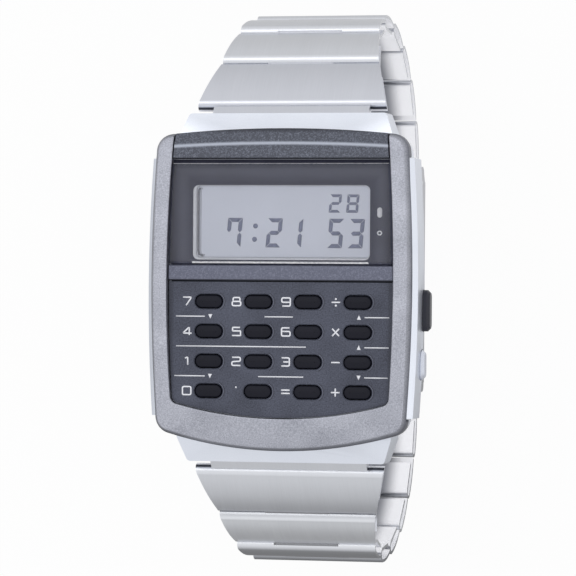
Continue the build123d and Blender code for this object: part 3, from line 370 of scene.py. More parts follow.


# Steel brushed along the band; on a link its inside is painted light: pale, not metallic and glowing,
# with painted shade towards the band's middle line
def brushedMaterial(name, dark, light, roughness, scale, bump, inside=None, shade=None):
    material, tree, shader, position = startMaterial(name, light, 1.0, roughness)
    b = brushLook
    brush = useGroup(tree, brushGroup, position, scale)
    colour = mixTones(tree, brush["Lines"], brush["Patches"], b["fineShare"], dark, light)
    if shade:
        colour = addShade(tree, position, colour, shade)
    # painted light and shade on the inside of the links, and painted pale colour and glow in the two slots
    # nearest the case
    if inside:
        facing = facingLoop(tree, position, inside["turned"])
        split = splitVector(tree, position)
        outer = fade(tree, absolute(tree, split["X"]), inside["near"], inside["far"])
        colour = mixColour(tree, facing, colour, mixColour(tree, outer, inside["deep"], inside["colour"]))
        slot = slotPaintedLightMask(tree, split)
        colour = mixColour(tree, slot, colour, inside["slotPaintedLight"])
        metal = rangeNode(tree, largest(tree, facing, slot), 0.0, 1.0, 1.0, 0.0)
        tree.links.new(metal, shader.inputs["Metallic"])
        shader.inputs["Emission Color"].default_value = inside["colour"]
        glow = product(tree, product(tree, facing, outer), inside["glow"])
        tree.links.new(largest(tree, glow, product(tree, slot, inside["slotPaintedGlow"])),
                       shader.inputs["Emission Strength"])
    tree.links.new(colour, shader.inputs["Base Color"])
    tree.links.new(spread(tree, brush["Lines"], roughness - b["smoother"], roughness + b["rougher"]),
                   shader.inputs["Roughness"])
    addBump(tree, shader, brush["Lines"], bump)
    return material


# How near a point is to a ridge: 1 on the line where Y is the ridge's own Y less its bow times X squared,
# falling to 0 within the width
def nearRidge(tree, position, ridge):
    split = splitVector(tree, position)
    square = product(tree, split["X"], split["X"])
    line = mathNode(tree, "SUBTRACT", ridge["y"], product(tree, square, ridge["bow"]))
    return fade(tree, absolute(tree, mathNode(tree, "SUBTRACT", split["Y"], line)), ridge["width"], 0.0)


# Dark lacquer with metal flakes under a thin clear coat, and where a ridge is given a painted highlight
# along it
def flakeMaterial(name, ground, flake, metallic, roughness, scale, ridge=None, shade=None):
    f = flakeLook
    coat = {"Coat Weight": f["coat"], "Coat Roughness": f["coatRoughness"]}
    material, tree, shader, position = startMaterial(name, ground, metallic, roughness, coat)
    flakes = useGroup(tree, flakeGroup, position, scale)
    grain = useGroup(tree, grainGroup, position, scale * f["grainScale"])
    amount = product(tree, flakes["Flakes"], rangeNode(tree, grain["Grain"], *f["grain"]))
    colour = mixColour(tree, amount, ground, flake)
    # painted highlight: a pale line along the ridge
    if ridge:
        ridgeHighlight = product(tree, nearRidge(tree, position, ridge), ridge["share"])
        colour = mixColour(tree, ridgeHighlight, colour, ridge["colour"])
    if shade:
        colour = addShade(tree, position, colour, shade)
    tree.links.new(colour, shader.inputs["Base Color"])
    uneven = rangeNode(tree, flakes["Tilt"], 0.0, 1.0, roughness - f["smoother"], roughness + f["rougher"])
    tree.links.new(uneven, shader.inputs["Roughness"])
    addBump(tree, shader, flakes["Tilt"], f["bump"])
    return material


glassLook = {"tint": (1, 1, 1, 1), "roughness": 0.03, "bending": 1.5, "smearScale": 700.0,
             "smear": (0.01, 0.05), "shadow": (0.94, 0.95, 0.96, 1)}


# Clear glass that lets lamp light through to the print behind it
def glassMaterial(name, g):
    plain = {"Transmission Weight": 1.0, "IOR": g["bending"]}
    material, tree, shader, position = startMaterial(name, g["tint"], 0.0, g["roughness"], plain)
    smear = useGroup(tree, grainGroup, position, g["smearScale"])
    tree.links.new(spread(tree, smear["Cloud"], *g["smear"]), shader.inputs["Roughness"])
    clear = addNode(tree, "ShaderNodeBsdfTransparent")
    clear.inputs["Color"].default_value = g["shadow"]
    mixShaders(tree, addNode(tree, "ShaderNodeLightPath").outputs["Is Shadow Ray"], shader, clear)
    return material


# colours of the painted shades and of the painted line of light along the top bar
edgeShadeDark, gapShadeDark = srgb(38, 40, 50), srgb(44, 46, 56)
barRidgeHighlight = {"y": 0.01775, "bow": 2.1, "width": 0.00033, "share": 0.85, "colour": srgb(186, 192, 206)}

# painted shade of a finish: reach and share in crevices, and places as axis, where clear, where full and
# share
shades = {
    "caseSilver": {"colour": srgb(90, 93, 106), "reach": 0.0008, "open": 0.6, "share": 0.7,
                   "places": (("X", -0.016, -0.0168, 0.14), ("X", 0.016, 0.0168, 0.06))},
    "bezelGrey": {"colour": srgb(60, 62, 74), "reach": 0.0006, "share": 0.8,
                  "places": (("Z", level(0.05), level(1.5), 0.75), ("bothX", 0.0163, 0.0165, 0.85))},
    "barLacquer": {"colour": edgeShadeDark,
                   "places": (("Z", level(0.78), level(1.0), 0.8), ("Y", 0.01605, 0.01590, 0.8),
                              ("bothX", 0.0141, 0.0143, 0.8))},
    "middleLacquer": {"colour": edgeShadeDark, "places": (("Y", 0.00105, 0.00092, 0.9),)},
    "plateLacquer": {"colour": srgb(30, 31, 40), "reach": 0.0006, "share": 0.7,
                     "places": (("bothX", 0.0134, 0.0138, 0.35),)},
    "endSteel": {"colour": gapShadeDark, "tongue": True},
    "lowEndSteel": {"colour": gapShadeDark, "tongue": True, "places": (("Y", -0.0258, -0.0278, 0.12),)},
    "lowSteel": {"colour": srgb(88, 90, 98),
                 "places": (("Y", -0.0317, -0.0342, 0.6), ("Y", -0.0292, -0.0284, 0.42))},
}

# grained finishes: dark and light tone, metallic, roughness, scale of the grain, its height in metres
grained = {
    "caseSilver": ((222, 226, 236), (232, 236, 244), 0.9, 0.34, 12000.0),
    "bezelGrey": ((146, 148, 158), (202, 204, 214), 0.85, 0.42, 6500.0, 0.000012),
    "plateLacquer": ((44, 47, 60), (88, 92, 108), 0.2, 0.5, 6000.0, 0.00001),
    "keyRubber": ((12, 13, 23), (24, 25, 38), 0.0, 0.45, 16000.0, usualBump, {"Specular IOR Level": 0.2}),
    "glassPrint": ((66, 68, 84), (86, 88, 108), 0.1, 0.5, 6500.0, 0.000002),
    "glassRim": ((196, 198, 206), (255, 255, 255), 0.1, 0.3, 2600.0),
    "frameLight": ((176, 178, 186), (206, 208, 216), 0.3, 0.35, usualScale),
    "lcdPale": ((189, 193, 207), (199, 203, 217), 0.0, 0.55, 14000.0, 0.000001),
    "lcdInk": ((98, 104, 132), (112, 118, 146), 0.0, 0.6, 14000.0, 0.000001),
    "cellShade": ((96, 98, 110), (106, 108, 120), 0.0, 0.6, 14000.0, 0.000001),
    "cellFade": ((160, 163, 177), (170, 173, 187), 0.0, 0.6, 14000.0, 0.000001),
    "whitePrint": ((228, 229, 236), (244, 245, 250), 0.0, 0.5, 14000.0, 0.000002),
    "rimPale": ((100, 103, 118), (114, 117, 132), 0.2, 0.5, usualScale, 0.000002),
    "rimShade": ((58, 60, 72), (68, 70, 82), 0.2, 0.5, usualScale, 0.000002),
    "maskInkAndShade": ((42, 44, 54), (54, 56, 66), 0.0, 0.55, usualScale),
    "buttonBlack": ((20, 21, 34), (30, 31, 46), 0.0, 0.3, 14000.0),
    "buttonSilver": ((206, 210, 222), (224, 228, 238), 0.9, 0.3, 12000.0),
    "cellSteel": ((190, 192, 196), (214, 216, 220), 1.0, 0.25, 6000.0),
    "brass": ((200, 168, 98), (222, 190, 120), 1.0, 0.3, 6000.0),
    "sealRubber": ((26, 26, 28), (38, 38, 41), 0.0, 0.6, usualScale),
    "modulePlastic": ((214, 213, 206), (228, 227, 220), 0.0, 0.5, 8000.0),
    "boardMask": ((24, 84, 48), (32, 100, 58), 0.0, 0.35, 6000.0),
    "chipBlack": ((34, 34, 36), (46, 46, 49), 0.0, 0.5, usualScale),
}

# brushed finishes: dark and light tone, roughness, scale of the hair lines, their height, the painted light
# on the links' inside;
# the band's four steels are one steel: endSteel's darker tone is painted shade and lowSteel's lighter one
# painted light
brushed = {
    "bandSteel": ((219, 221, 226), (226, 228, 233), 0.34, usualScale, 0.000001, loopInsideLight),
    "endSteel": ((211, 213, 220), (218, 220, 227), 0.34, usualScale, 0.000001, loopInsideLight),
    "lowSteel": ((240, 242, 247), (246, 248, 252), 0.36, usualScale, 0.000001, lowInsideLight),
    "lowEndSteel": ((219, 221, 226), (226, 228, 233), 0.34, usualScale, 0.000001, lowInsideLight),
    "backSteel": ((196, 198, 202), (214, 216, 220), 0.26, 12000.0, 0.000002),
    "pinSteel": ((180, 182, 186), (210, 212, 216), 0.22, 12000.0, 0.000002),
}

# flaked finishes: ground and flake tone, metallic, roughness, scale of the flakes, the painted line of
# light along the ridge
flaked = {
    "barLacquer": ((72, 75, 86), (114, 119, 133), 0.5, 0.38, 7500.0, barRidgeHighlight),
    "middleLacquer": ((96, 99, 116), (122, 125, 143), 0.5, 0.42, 8000.0),
}

finishes = {"clearGlass": glassMaterial("clearGlass", glassLook)}
for makeFinish, table in ((grainMaterial, grained), (brushedMaterial, brushed), (flakeMaterial, flaked)):
    for name, (dark, light, *rest) in table.items():
        finishes[name] = makeFinish(name, srgb(*dark), srgb(*light), *rest, shade=shades.get(name))
print("materials made")

wears = {"case_body": "caseSilver", "bezel_frame": "bezelGrey", "top_bar": "barLacquer",
         "middle_bar": "middleLacquer", "display_glass": "clearGlass", "display_mask": "maskInkAndShade",
         "lcd_cell": "lcdPale", "contact_strips": "sealRubber", "keypad_plate": "plateLacquer",
         "keypad_mat": "sealRubber", "module_frame": "modulePlastic", "circuit_board": "boardMask",
         "board_parts": "chipBlack", "battery": "cellSteel", "battery_strap": "pinSteel",
         "buzzer_disc": "brass", "case_back": "backSteel", "back_screws": "pinSteel",
         "case_gasket": "sealRubber", "button_springs": "pinSteel", "button_seals": "sealRubber",
         "upper_spring_bar": "pinSteel", "lower_spring_bar": "pinSteel",
         "mode_button": "buttonBlack", "adjust_button": "buttonSilver",
         "upper_end_link": "endSteel", "lower_end_link": "lowEndSteel"}
# and what every name that starts so wears
families = {"upper_link_": "bandSteel", "lower_link_": "lowSteel", "clasp_": "bandSteel",
            "key_": "keyRubber"}

for nodeName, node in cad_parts.items():
    for start, finish in families.items():
        if nodeName.startswith(start):
            wears[nodeName] = finish
    for slot in node.material_slots:
        slot.material = finishes[wears[nodeName]]
print("frame dressed")


# mesh helpers
def meshPiece(name, vertices, faces, finish, body, smoothAngle=30.0):
    data = bpy.data.meshes.new(name)
    data.from_pydata(np.asarray(vertices).tolist(), [], faces)
    data.validate()
    data.polygons.foreach_set("use_smooth", [True] * len(data.polygons))
    data.set_sharp_from_angle(angle=math.radians(smoothAngle))
    data.materials.append(finishes[finish])
    piece = bpy.data.objects.new(name, data)
    bpy.context.collection.objects.link(piece)
    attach(piece, body)
    return piece


# Gives a flat piece its thickness in millimetres, away from the side that its faces point to
def thicken(piece, thickness):
    thick = piece.modifiers.new("thickness", "SOLIDIFY")
    thick.thickness = thickness * mm
    thick.offset = -1


# Quads between closed rings of points that follow each other, with flat caps where asked
def ringFaces(rings, count, firstCap, lastCap):
    here = np.arange(rings - 1)[:, None] * count + np.arange(count)[None, :]
    after = np.arange(rings - 1)[:, None] * count + (np.arange(count)[None, :] + 1) % count
    faces = np.stack([here, after, after + count, here + count], -1).reshape(-1, 4).tolist()
    if firstCap:
        faces.append(list(range(count))[::-1])
    if lastCap:
        faces.append(list(range((rings - 1) * count, rings * count)))
    return faces


# Points on a circle of radius 1: the cosine and the sine of each turn
def circlePoints(turn):
    return np.stack([np.cos(turn), np.sin(turn)], -1)


# Points and outward directions of a slot shape: two half circles joined by straight sides
def slotOutline(length, width, count):
    turn = np.linspace(0, 2 * np.pi, count, endpoint=False) + np.pi / count
    outward = circlePoints(turn)
    centres = np.stack([np.sign(np.cos(turn)) * (length - width) / 2, np.zeros(count)], -1)
    return centres + outward * width / 2, outward


cornerSteps = {"window": 9, "pen": 5}


# Points of a rectangle with rounded corners, counterclockwise from the right side
def roundedRectangle(centre, sides, radius):
    half = np.array(sides) / 2 - radius
    corners = np.array([(1, 1), (-1, 1), (-1, -1), (1, -1)])
    points = []
    for number, corner in enumerate(corners):
        turn = np.linspace(0, np.pi / 2, cornerSteps["window"]) + number * np.pi / 2
        points.append(np.array(centre) + corner * half + radius * circlePoints(turn))
    return np.concatenate(points)


# Each corner of a line becomes a short curve: a quadratic blend from before it to after it
def softenCorners(points, cut, closed):
    points = np.array(points, float)
    around = np.roll(points, 1, 0), points, np.roll(points, -1, 0)
    share = np.linspace(0, 1, cornerSteps["pen"])[:, None]
    result = []
    for number, (before, corner, after) in enumerate(zip(*around)):
        if not closed and number in (0, len(points) - 1):
            result.append(corner[None])
            continue
        lengths = np.linalg.norm(before - corner), np.linalg.norm(after - corner)
        reach = min(cut, lengths[0] / 2, lengths[1] / 2)
        start = corner + (before - corner) / lengths[0] * reach
        end = corner + (after - corner) / lengths[1] * reach
        result.append((1 - share) ** 2 * start + 2 * share * (1 - share) * corner + share ** 2 * end)
    return np.concatenate(result)


# A line drawn with a pen of even width: each point gives a left and a right point, mitred
def stroke(points, width, closed=False, cut=0.0):
    line = softenCorners(points, cut, closed) if cut else np.array(points, float)
    ahead = np.roll(line, -1, 0) - line
    if not closed:
        ahead[-1] = ahead[-2]
    ahead /= np.linalg.norm(ahead, axis=1)[:, None]
    behind = np.roll(ahead, 1, 0)
    if not closed:
        behind[0] = ahead[0]
    sides = [np.stack([-way[:, 1], way[:, 0]], -1) for way in (behind, ahead)]
    mitre = sides[0] + sides[1]
    mitre /= (mitre * sides[1]).sum(1)[:, None]
    count = len(line)
    vertices = np.concatenate([line + mitre * width / 2, line - mitre * width / 2])
    spans = count if closed else count - 1
    faces = [[i, i + count, (i + 1) % count + count, (i + 1) % count] for i in range(spans)]
    return vertices, faces


# A filled ellipse: the circle's points times half its width and height
def blob(centre, sizes, count=20):
    turn = np.linspace(0, 2 * np.pi, count, endpoint=False)
    ring = np.array(centre) + circlePoints(turn) * np.array(sizes) / 2
    return ring, [list(range(count))]


def polygon(points):
    return np.array(points, float), [list(range(len(points)))]


# Flat shapes in millimetres, laid at a depth below the bezel's top and given a thickness
def flatPrint(name, shapes, depth, thickness, finish, body):
    vertices, faces, start = [], [], 0
    for points, shapeFaces in shapes:
        vertices.append(points)
        faces += [[index + start for index in face] for face in shapeFaces]
        start += len(points)
    flat = np.concatenate(vertices) * mm
    solid = np.column_stack([flat, np.full(len(flat), level(depth))])
    thicken(meshPiece(name, solid, faces, finish, body), thickness)


# rounding of the case's edges, in millimetres and degrees
softEdges = {"merge": 0.001, "flat": 0.6, "angle": 25.0, "segments": 2}
softWidths = (("case_body", "case_metal", 0.16), ("bezel_frame", "bezel_metal", 0.17),
              ("top_bar", "bar_metal", 0.16), ("middle_bar", "bar_metal", 0.06))


# A copy of a CAD piece, merged, with its sharp edges rounded by a small bevel
def softened(nodeName, body, width, s):
    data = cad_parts[nodeName].data.copy()
    work = bmesh.new()
    work.from_mesh(data)
    bmesh.ops.remove_doubles(work, verts=work.verts, dist=s["merge"] * mm)
    bmesh.ops.dissolve_limit(work, angle_limit=math.radians(s["flat"]), verts=work.verts, edges=work.edges)
    work.to_mesh(data)
    work.free()
    data.polygons.foreach_set("use_smooth", [True] * len(data.polygons))
    data.set_sharp_from_angle(angle=math.radians(s["angle"]))
    piece = bpy.data.objects.new(nodeName + "_softened", data)
    bpy.context.collection.objects.link(piece)
    bevel = piece.modifiers.new("softEdge", "BEVEL")
    bevel.width = width * mm
    bevel.segments = s["segments"]
    bevel.use_clamp_overlap = nodeName != "bezel_frame"     # its sweep's short edges would stop the bevel
    bevel.limit_method = "ANGLE"
    bevel.angle_limit = math.radians(s["angle"])
    bevel.harden_normals = True
    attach(piece, body)
    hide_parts(nodeName)


for nodeName, recordSlot, width in softWidths:
    softened(nodeName, "case", width, softEdges)
print("edges softened")


# keys
keySizes = {"centreX": 0.36, "centreY": -7.27, "pitchX": 6.28, "pitchY": 3.68,
            "length": 3.38, "width": 1.56, "topDepth": 0.73, "footDepth": 1.45, "rim": 0.28, "rimSteps": 7,
            "crown": 0.05, "crownInsets": (0.5, 0.7, 0.82), "crownDrops": (0.35, 0.08, 0.0),
            "corners": 48, "smooth": 60.0}
keyRows = (("7", "8", "9", "divide"), ("4", "5", "6", "times"), ("1", "2", "3", "minus"),
           ("0", "point", "equals", "plus"))


def keyCentre(row, column):
    return (keySizes["centreX"] + (column - 1.5) * keySizes["pitchX"],
            keySizes["centreY"] + (1.5 - row) * keySizes["pitchY"])


# A pill: a slot outline carried up its side, round a quarter-circle rim and over a low crown
def makeKey(name, row, column, k):
    outline, outward = slotOutline(k["length"], k["width"], k["corners"])
    quarter = np.linspace(0, np.pi / 2, k["rimSteps"])
    inset = np.concatenate([[0.0], k["rim"] * (1 - np.cos(quarter)), k["crownInsets"]])
    depth = np.concatenate([[k["footDepth"]], k["topDepth"] + k["crown"] + k["rim"] * (1 - np.sin(quarter)),
                            k["topDepth"] + k["crown"] * np.array(k["crownDrops"])])
    rings = outline[None] - outward[None] * inset[:, None, None] + np.array(keyCentre(row, column))
    heights = np.repeat(faceHeight - depth * mm, len(outline))
    vertices = np.column_stack([rings.reshape(-1, 2) * mm, heights])
    node = "key_" + name
    piece = meshPiece(node + "_cap", vertices, ringFaces(len(inset), len(outline), True, True),
                      "keyRubber", node, k["smooth"])
    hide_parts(node)


for row, names in enumerate(keyRows):
    for column, name in enumerate(names):
        makeKey(name, row, column, keySizes)
print("keys made")


# white marks on the keypad: plain numbers and signs, and the thin lines between the rows
labelSizes = {"left": 2.74, "height": 1.0, "width": 1.08, "pen": 0.18, "round": 0.2, "roundFive": 0.06,
              "divideDots": (0.26, 0.26), "divideRise": 0.4, "pointDot": (0.22, 0.22), "pointRise": 0.5,
              "depth": 0.835, "thickness": 0.01}
glyphs = {
    "7": (((0, 1), (1, 1), (0.36, 0)),),
    "8": (((0.1, 0.6), (0.1, 1), (0.9, 1), (0.9, 0.6)), ((0, 0.52), (0, 0), (1, 0), (1, 0.52), (0, 0.52))),
    "9": (((0.92, 0.46), (0, 0.46), (0, 1), (1, 1), (1, 0), (0.06, 0)),),
    "4": (((0.76, 0.325), (0.76, 1), (0, 0.24), (1.04, 0.24)), ((0.76, 0.155), (0.76, 0))),
    "5": (((0.94, 1), (0.06, 1), (0.06, 0.57), (1, 0.57), (1, 0), (0, 0)),),
    "6": (((0.92, 1), (0, 1), (0, 0), (1, 0), (1, 0.56), (0.08, 0.56)),),
    "1": (((0.26, 0.82), (0.6, 1), (0.6, 0)),),
    "2": (((0.03, 1), (1, 1), (1, 0.52), (0, 0.46), (0, 0), (1.02, 0)),),
    "3": (((0.04, 1), (0.94, 1), (0.94, 0), (0, 0)), ((0.22, 0.5), (0.86, 0.5))),
    "0": (((0, 0), (1, 0), (1, 1), (0, 1), (0, 0)),),
    "divide": (((0, 0.5), (1, 0.5)),),
    "times": (((0.1, 0.05), (0.9, 0.95)), ((0.1, 0.95), (0.445, 0.562)), ((0.555, 0.438), (0.9, 0.05))),
    "minus": (((0, 0.5), (1, 0.5)),),
    "equals": (((0, 0.32), (1, 0.32)), ((0, 0.72), (1, 0.72))),
    "plus": (((0, 0.5), (1, 0.5)), ((0.5, 0), (0.5, 0.415)), ((0.5, 0.585), (0.5, 1))),
    "point": (),
}


# The lines of a glyph are points in its box, 0 to 1 each way, and one that ends where it starts is closed
def labelShapes(s):
    shapes = []
    for row, names in enumerate(keyRows):
        for column, name in enumerate(names):
            keyX, keyY = keyCentre(row, column)
            corner = np.array([keyX - s["left"] - s["width"] / 2, keyY - s["height"] / 2])
            sides = np.array([s["width"], s["height"]])
            for line in glyphs[name]:
                closed = line[0] == line[-1]
                points = corner + np.array(line[:-1] if closed else line) * sides
                rounding = s["roundFive"] if name == "5" else s["round"]
                shapes.append(stroke(points, s["pen"], closed, rounding))
            middle = corner + sides / 2
            if name == "divide":
                shapes += [blob(middle + (0, s["divideRise"] * way), s["divideDots"]) for way in (1, -1)]
            if name == "point":
                shapes.append(blob(middle + (0, s["pointRise"]), s["pointDot"]))
    return shapes


# each row gap: runs of line, and the triangles that stand in its breaks, as x and turned up or down
rowGaps = (
    {"lines": ((-13.25, -9.55), (-1.95, 1.65), (10.65, 13.75)), "triangles": ((-8.85, -1), (9.95, 1))},
    {"lines": ((-13.2, 3.3), (10.65, 13.7)), "triangles": ((9.95, 1),)},
    {"lines": ((-13.4, -9.5), (-2.7, 3.0), (10.65, 13.6)), "triangles": ((-8.85, -1), (9.95, -1))},
)
gapSizes = {"line": 0.14, "triangleHalf": 0.26, "triangleFoot": 0.27, "triangleTip": 0.3}


def gapShapes(s):
    shapes = []
    for number, rowGap in enumerate(rowGaps):
        y = keyCentre(number + 0.5, 0)[1]
        shapes += [stroke([(start, y), (end, y)], s["line"]) for start, end in rowGap["lines"]]
        for x, way in rowGap["triangles"]:
            foot = y - s["triangleFoot"] * way
            left, right, tip = x - s["triangleHalf"], x + s["triangleHalf"], y + s["triangleTip"] * way
            points = [(left, foot), (right, foot), (x, tip)]
            shapes.append(polygon(points if way > 0 else points[::-1]))
    return shapes


# the edge of each key hole, as light and shade printed flat on its right: a thin pale arc, a painted
# highlight, and a dark one outside it, painted shade
holeLightAndShade = {"pen": 0.08, "reach": 1.1, "steps": 18,
            "arcs": (("hole_highlights", 0.28, "rimPale"), ("hole_shades", 0.4, "rimShade"))}


# The arc of a circle round the hole's right end, wider than the key's own end by the way given
def rimShapes(away, s):
    turn = np.linspace(-s["reach"], s["reach"], s["steps"])
    arc = circlePoints(turn) * (keySizes["width"] / 2 + away)
    arc[:, 0] += (keySizes["length"] - keySizes["width"]) / 2
    return [stroke(arc + keyCentre(row, column), s["pen"])
            for row, names in enumerate(keyRows) for column in range(len(names))]


for name, away, finish in holeLightAndShade["arcs"]:
    flatPrint(name, rimShapes(away, holeLightAndShade), labelSizes["depth"], labelSizes["thickness"], finish,
              "case")

# a dark sheet as painted shade in the gap between the middle bar and the glass
gapShade = {"low": 0.66, "high": 0.84, "side": 14.0, "depth": 1.4, "thickness": 0.02}
gapCorners = [(-gapShade["side"], gapShade["low"]), (gapShade["side"], gapShade["low"]),
              (gapShade["side"], gapShade["high"]), (-gapShade["side"], gapShade["high"])]
flatPrint("gap_shade", [polygon(gapCorners)], gapShade["depth"], gapShade["thickness"], "maskInkAndShade",
          "case")
flatPrint("keypad_print", labelShapes(labelSizes) + gapShapes(gapSizes), labelSizes["depth"],
          labelSizes["thickness"], "whitePrint", "case")
print("keypad printed")


# display: the print behind the glass, a light frame round the window and plain numbers on the cell
# the print runs on past the glass under the gaps at the top and middle bars, where its dark is painted
# shade
displaySizes = {"windowCentre": (0.0, 8.0), "window": (22.4, 9.2), "windowRadius": 0.7, "cellDepth": 1.74,
                "printDepth": 1.41, "printLow": 2.765, "printHigh": 15.74, "printSide": 14.1,
                "printRadius": 0.2, "printThickness": 0.02}
frameSizes = {"left": 0.5, "bottom": 0.36, "right": 0.1, "top": 0.12, "tighter": 0.25, "lift": 0.01,
              "thickness": 0.02, "smooth": 50.0}
shadeSizes = {"lines": (("window_fade", "cellFade", 0.3, 0.003, 0.182),
                        ("window_shade", "cellShade", 0.26, 0.006, 0)),
              "top": ((0.22, -0.2), (0.06, -0.45), (0.0, -0.8)), "foot": ((0.0, 0.8), (0.1, 0.3)),
              "reach": 0.6, "thickness": 0.002}
glassRimHighlightSizes = {"depth": 0.45, "foot": 0.02, "footDrop": 0.19, "lift": 0.012, "steps": 60,
            "strips": (("lower_rim_highlight", 2.95, 0.24, 11.15, 1), ("upper_rim_highlight", 15.3, 0.1, 13.6, -1))}


# A flat sheet with the window cut out of it: quads between the window's outline and the sheet's
def makeDisplayPrint(d):
    inner = roundedRectangle(d["windowCentre"], d["window"], d["windowRadius"])
    middleY = (d["printLow"] + d["printHigh"]) / 2
    sides = (2 * d["printSide"], d["printHigh"] - d["printLow"])
    outer = roundedRectangle((0, middleY), sides, d["printRadius"])
    count = len(inner)
    vertices = np.concatenate([inner, outer])
    faces = [[i + count, (i + 1) % count + count, (i + 1) % count, i] for i in range(count)]
    flatPrint("display_print", [(vertices, faces)], d["printDepth"], d["printThickness"], "glassPrint",
              "case")


# A sloping frame from the edge of the print down to the cell, wider at the left and below
def makeWindowFrame(d, s):
    outer = roundedRectangle(d["windowCentre"], d["window"], d["windowRadius"])
    sides = (d["window"][0] - s["left"] - s["right"], d["window"][1] - s["bottom"] - s["top"])
    centre = (d["windowCentre"][0] + (s["left"] - s["right"]) / 2,
              d["windowCentre"][1] + (s["bottom"] - s["top"]) / 2)
    inner = roundedRectangle(centre, sides, d["windowRadius"] - s["tighter"])
    flat = np.concatenate([outer, inner]) * mm
    depths = level(d["printDepth"] + d["printThickness"]), level(d["cellDepth"] - s["lift"])
    vertices = np.column_stack([flat, np.repeat(depths, len(outer))])
    piece = meshPiece("window_frame", vertices, ringFaces(2, len(outer), False, False), "frameLight",
                      "case", s["smooth"])
    thicken(piece, s["thickness"])


# The painted shadow that the window's left wall throws on the cell, a dark line, and its fade, each as its
# pen's width, lift
# over the cell and way from the wall: a stroke down the left side whose ends bend along the top and foot
def makeWindowShade(d, f, s):
    left = d["windowCentre"][0] - d["window"][0] / 2 + f["left"]
    low = d["windowCentre"][1] - d["window"][1] / 2 + f["bottom"]
    high = d["windowCentre"][1] + d["window"][1] / 2 - f["top"]
    for name, finish, pen, lift, away in s["lines"]:
        x = left + pen / 2 + away
        line = [(x + across, high + rise) for across, rise in s["top"]]
        line += [(x + across, low + rise) for across, rise in s["foot"]] + [(x + s["reach"], low + pen / 2)]
        flatPrint(name, [stroke(line, pen)], d["cellDepth"] - lift, s["thickness"], finish, "case")


# Painted highlights for the light caught by the bevel under the glass's lower edge and, thinner, by the one
# at its top:
# pale strips that lie on the slope of the bevel, each as its low edge, width, half length and the way it
# rises
def makeGlassRimHighlights(s):
    steps = s["steps"]
    for name, low, wide, reach, way in s["strips"]:
        across = np.linspace(-reach, reach, steps)
        rises = np.repeat([low + way * s["foot"], low + way * wide], steps) * mm
        depths = level(np.repeat([s["depth"] + s["footDrop"], s["depth"] - s["lift"]], steps))
        points = np.column_stack([np.tile(across, 2) * mm, rises, depths])
        faces = [[i, i + 1, i + steps + 1, i + steps][::way] for i in range(steps - 1)]
        meshPiece(name, points, faces, "glassRim", "case")


# numbers on the cell, a row at a time: each digit with its left edge, then the row's place and sizes
lcdRows = (
    {"digits": (("7", -7.12), ("2", -2.05), ("1", 0.55), ("5", 5.72), ("3", 8.3)),
     "bottom": 4.93, "width": 1.88, "height": 3.6, "thick": 0.5},
    {"digits": (("2", 5.9), ("8", 8.1)), "bottom": 9.27, "width": 1.5, "height": 2.25, "thick": 0.34},
)
lcdSizes = {"gap": 0.035, "lean": 0.09, "turn": -0.006, "thickness": 0.005,
            "colonAt": (-3.38, 6.75), "colonApart": (0.06, 0.82), "colonDot": (0.62, 0.62)}
litSegments = {"7": "abcf", "2": "abged", "1": "bc", "5": "afgcd", "3": "abgcd", "8": "abcdefg"}


# Bars with mitred ends inside a box, a half above and a half below, then the digit leans to the right
def digitShapes(digit, left, row, s):
    width, height, thick = row["width"], row["height"], row["thick"]
    gap, middle, half = s["gap"], height / 2, thick / 2
    flatBar = [(gap, height), (thick + gap, height - thick), (width - thick - gap, height - thick),
               (width - gap, height)]
    sideBar = [(0, height - gap), (0, middle + half + gap), (half, middle + gap),
               (thick, middle + half + gap), (thick, height - thick - gap)]
    near, far = thick + gap, width - thick - gap
    centreBar = [(half + gap, middle), (near, middle - half), (far, middle - half),
                 (width - half - gap, middle), (far, middle + half), (near, middle + half)]
    mirrors = {"a": (flatBar, 1, 1), "d": (flatBar, 1, -1), "f": (sideBar, 1, 1), "e": (sideBar, 1, -1),
               "b": (sideBar, -1, 1), "c": (sideBar, -1, -1), "g": (centreBar, 1, 1)}
    shapes = []
    for name in litSegments[digit]:
        bar, acrossWay, upWay = mirrors[name]
        points = np.array(bar)
        if acrossWay < 0:
            points[:, 0] = width - points[:, 0]
        if upWay < 0:
            points[:, 1] = height - points[:, 1]
        if acrossWay * upWay < 0:
            points = points[::-1]
        points = points + (left, row["bottom"])
        points[:, 0] += (points[:, 1] - row["bottom"]) * s["lean"]
        points[:, 1] += points[:, 0] * s["turn"]
        shapes.append(polygon(points))
    return shapes


def lcdShapes(s):
    shapes = []
    for row in lcdRows:
        for digit, left in row["digits"]:
            shapes += digitShapes(digit, left, row, s)
    centre, apart = np.array(s["colonAt"]), np.array(s["colonApart"])
    return shapes + [blob(centre + apart * way, s["colonDot"]) for way in (1, -1)]


makeDisplayPrint(displaySizes)
makeWindowFrame(displaySizes, frameSizes)
makeWindowShade(displaySizes, frameSizes, shadeSizes)
makeGlassRimHighlights(glassRimHighlightSizes)
flatPrint("lcd_digits", lcdShapes(lcdSizes), displaySizes["cellDepth"], lcdSizes["thickness"], "lcdInk",
          "case")
print("display made")


# the two small marks printed beside the window, one full and one open
markSizes = {"pill": (1.25, 0.62), "pillAt": (12.4, 9.25), "ring": (0.5, 0.44), "ringAt": (12.4, 6.75),
             "pen": 0.16, "steps": 24, "thickness": 0.01}


def markShapes(s):
    pill = slotOutline(*s["pill"], s["steps"])[0][:, ::-1] + s["pillAt"]
    ring = blob(s["ringAt"], s["ring"], s["steps"])[0]
    return [(pill, [list(range(s["steps"]))[::-1]]), stroke(ring, s["pen"], closed=True)]


flatPrint("window_marks", markShapes(markSizes), displaySizes["printDepth"] - markSizes["thickness"],
          markSizes["thickness"], "whitePrint", "case")


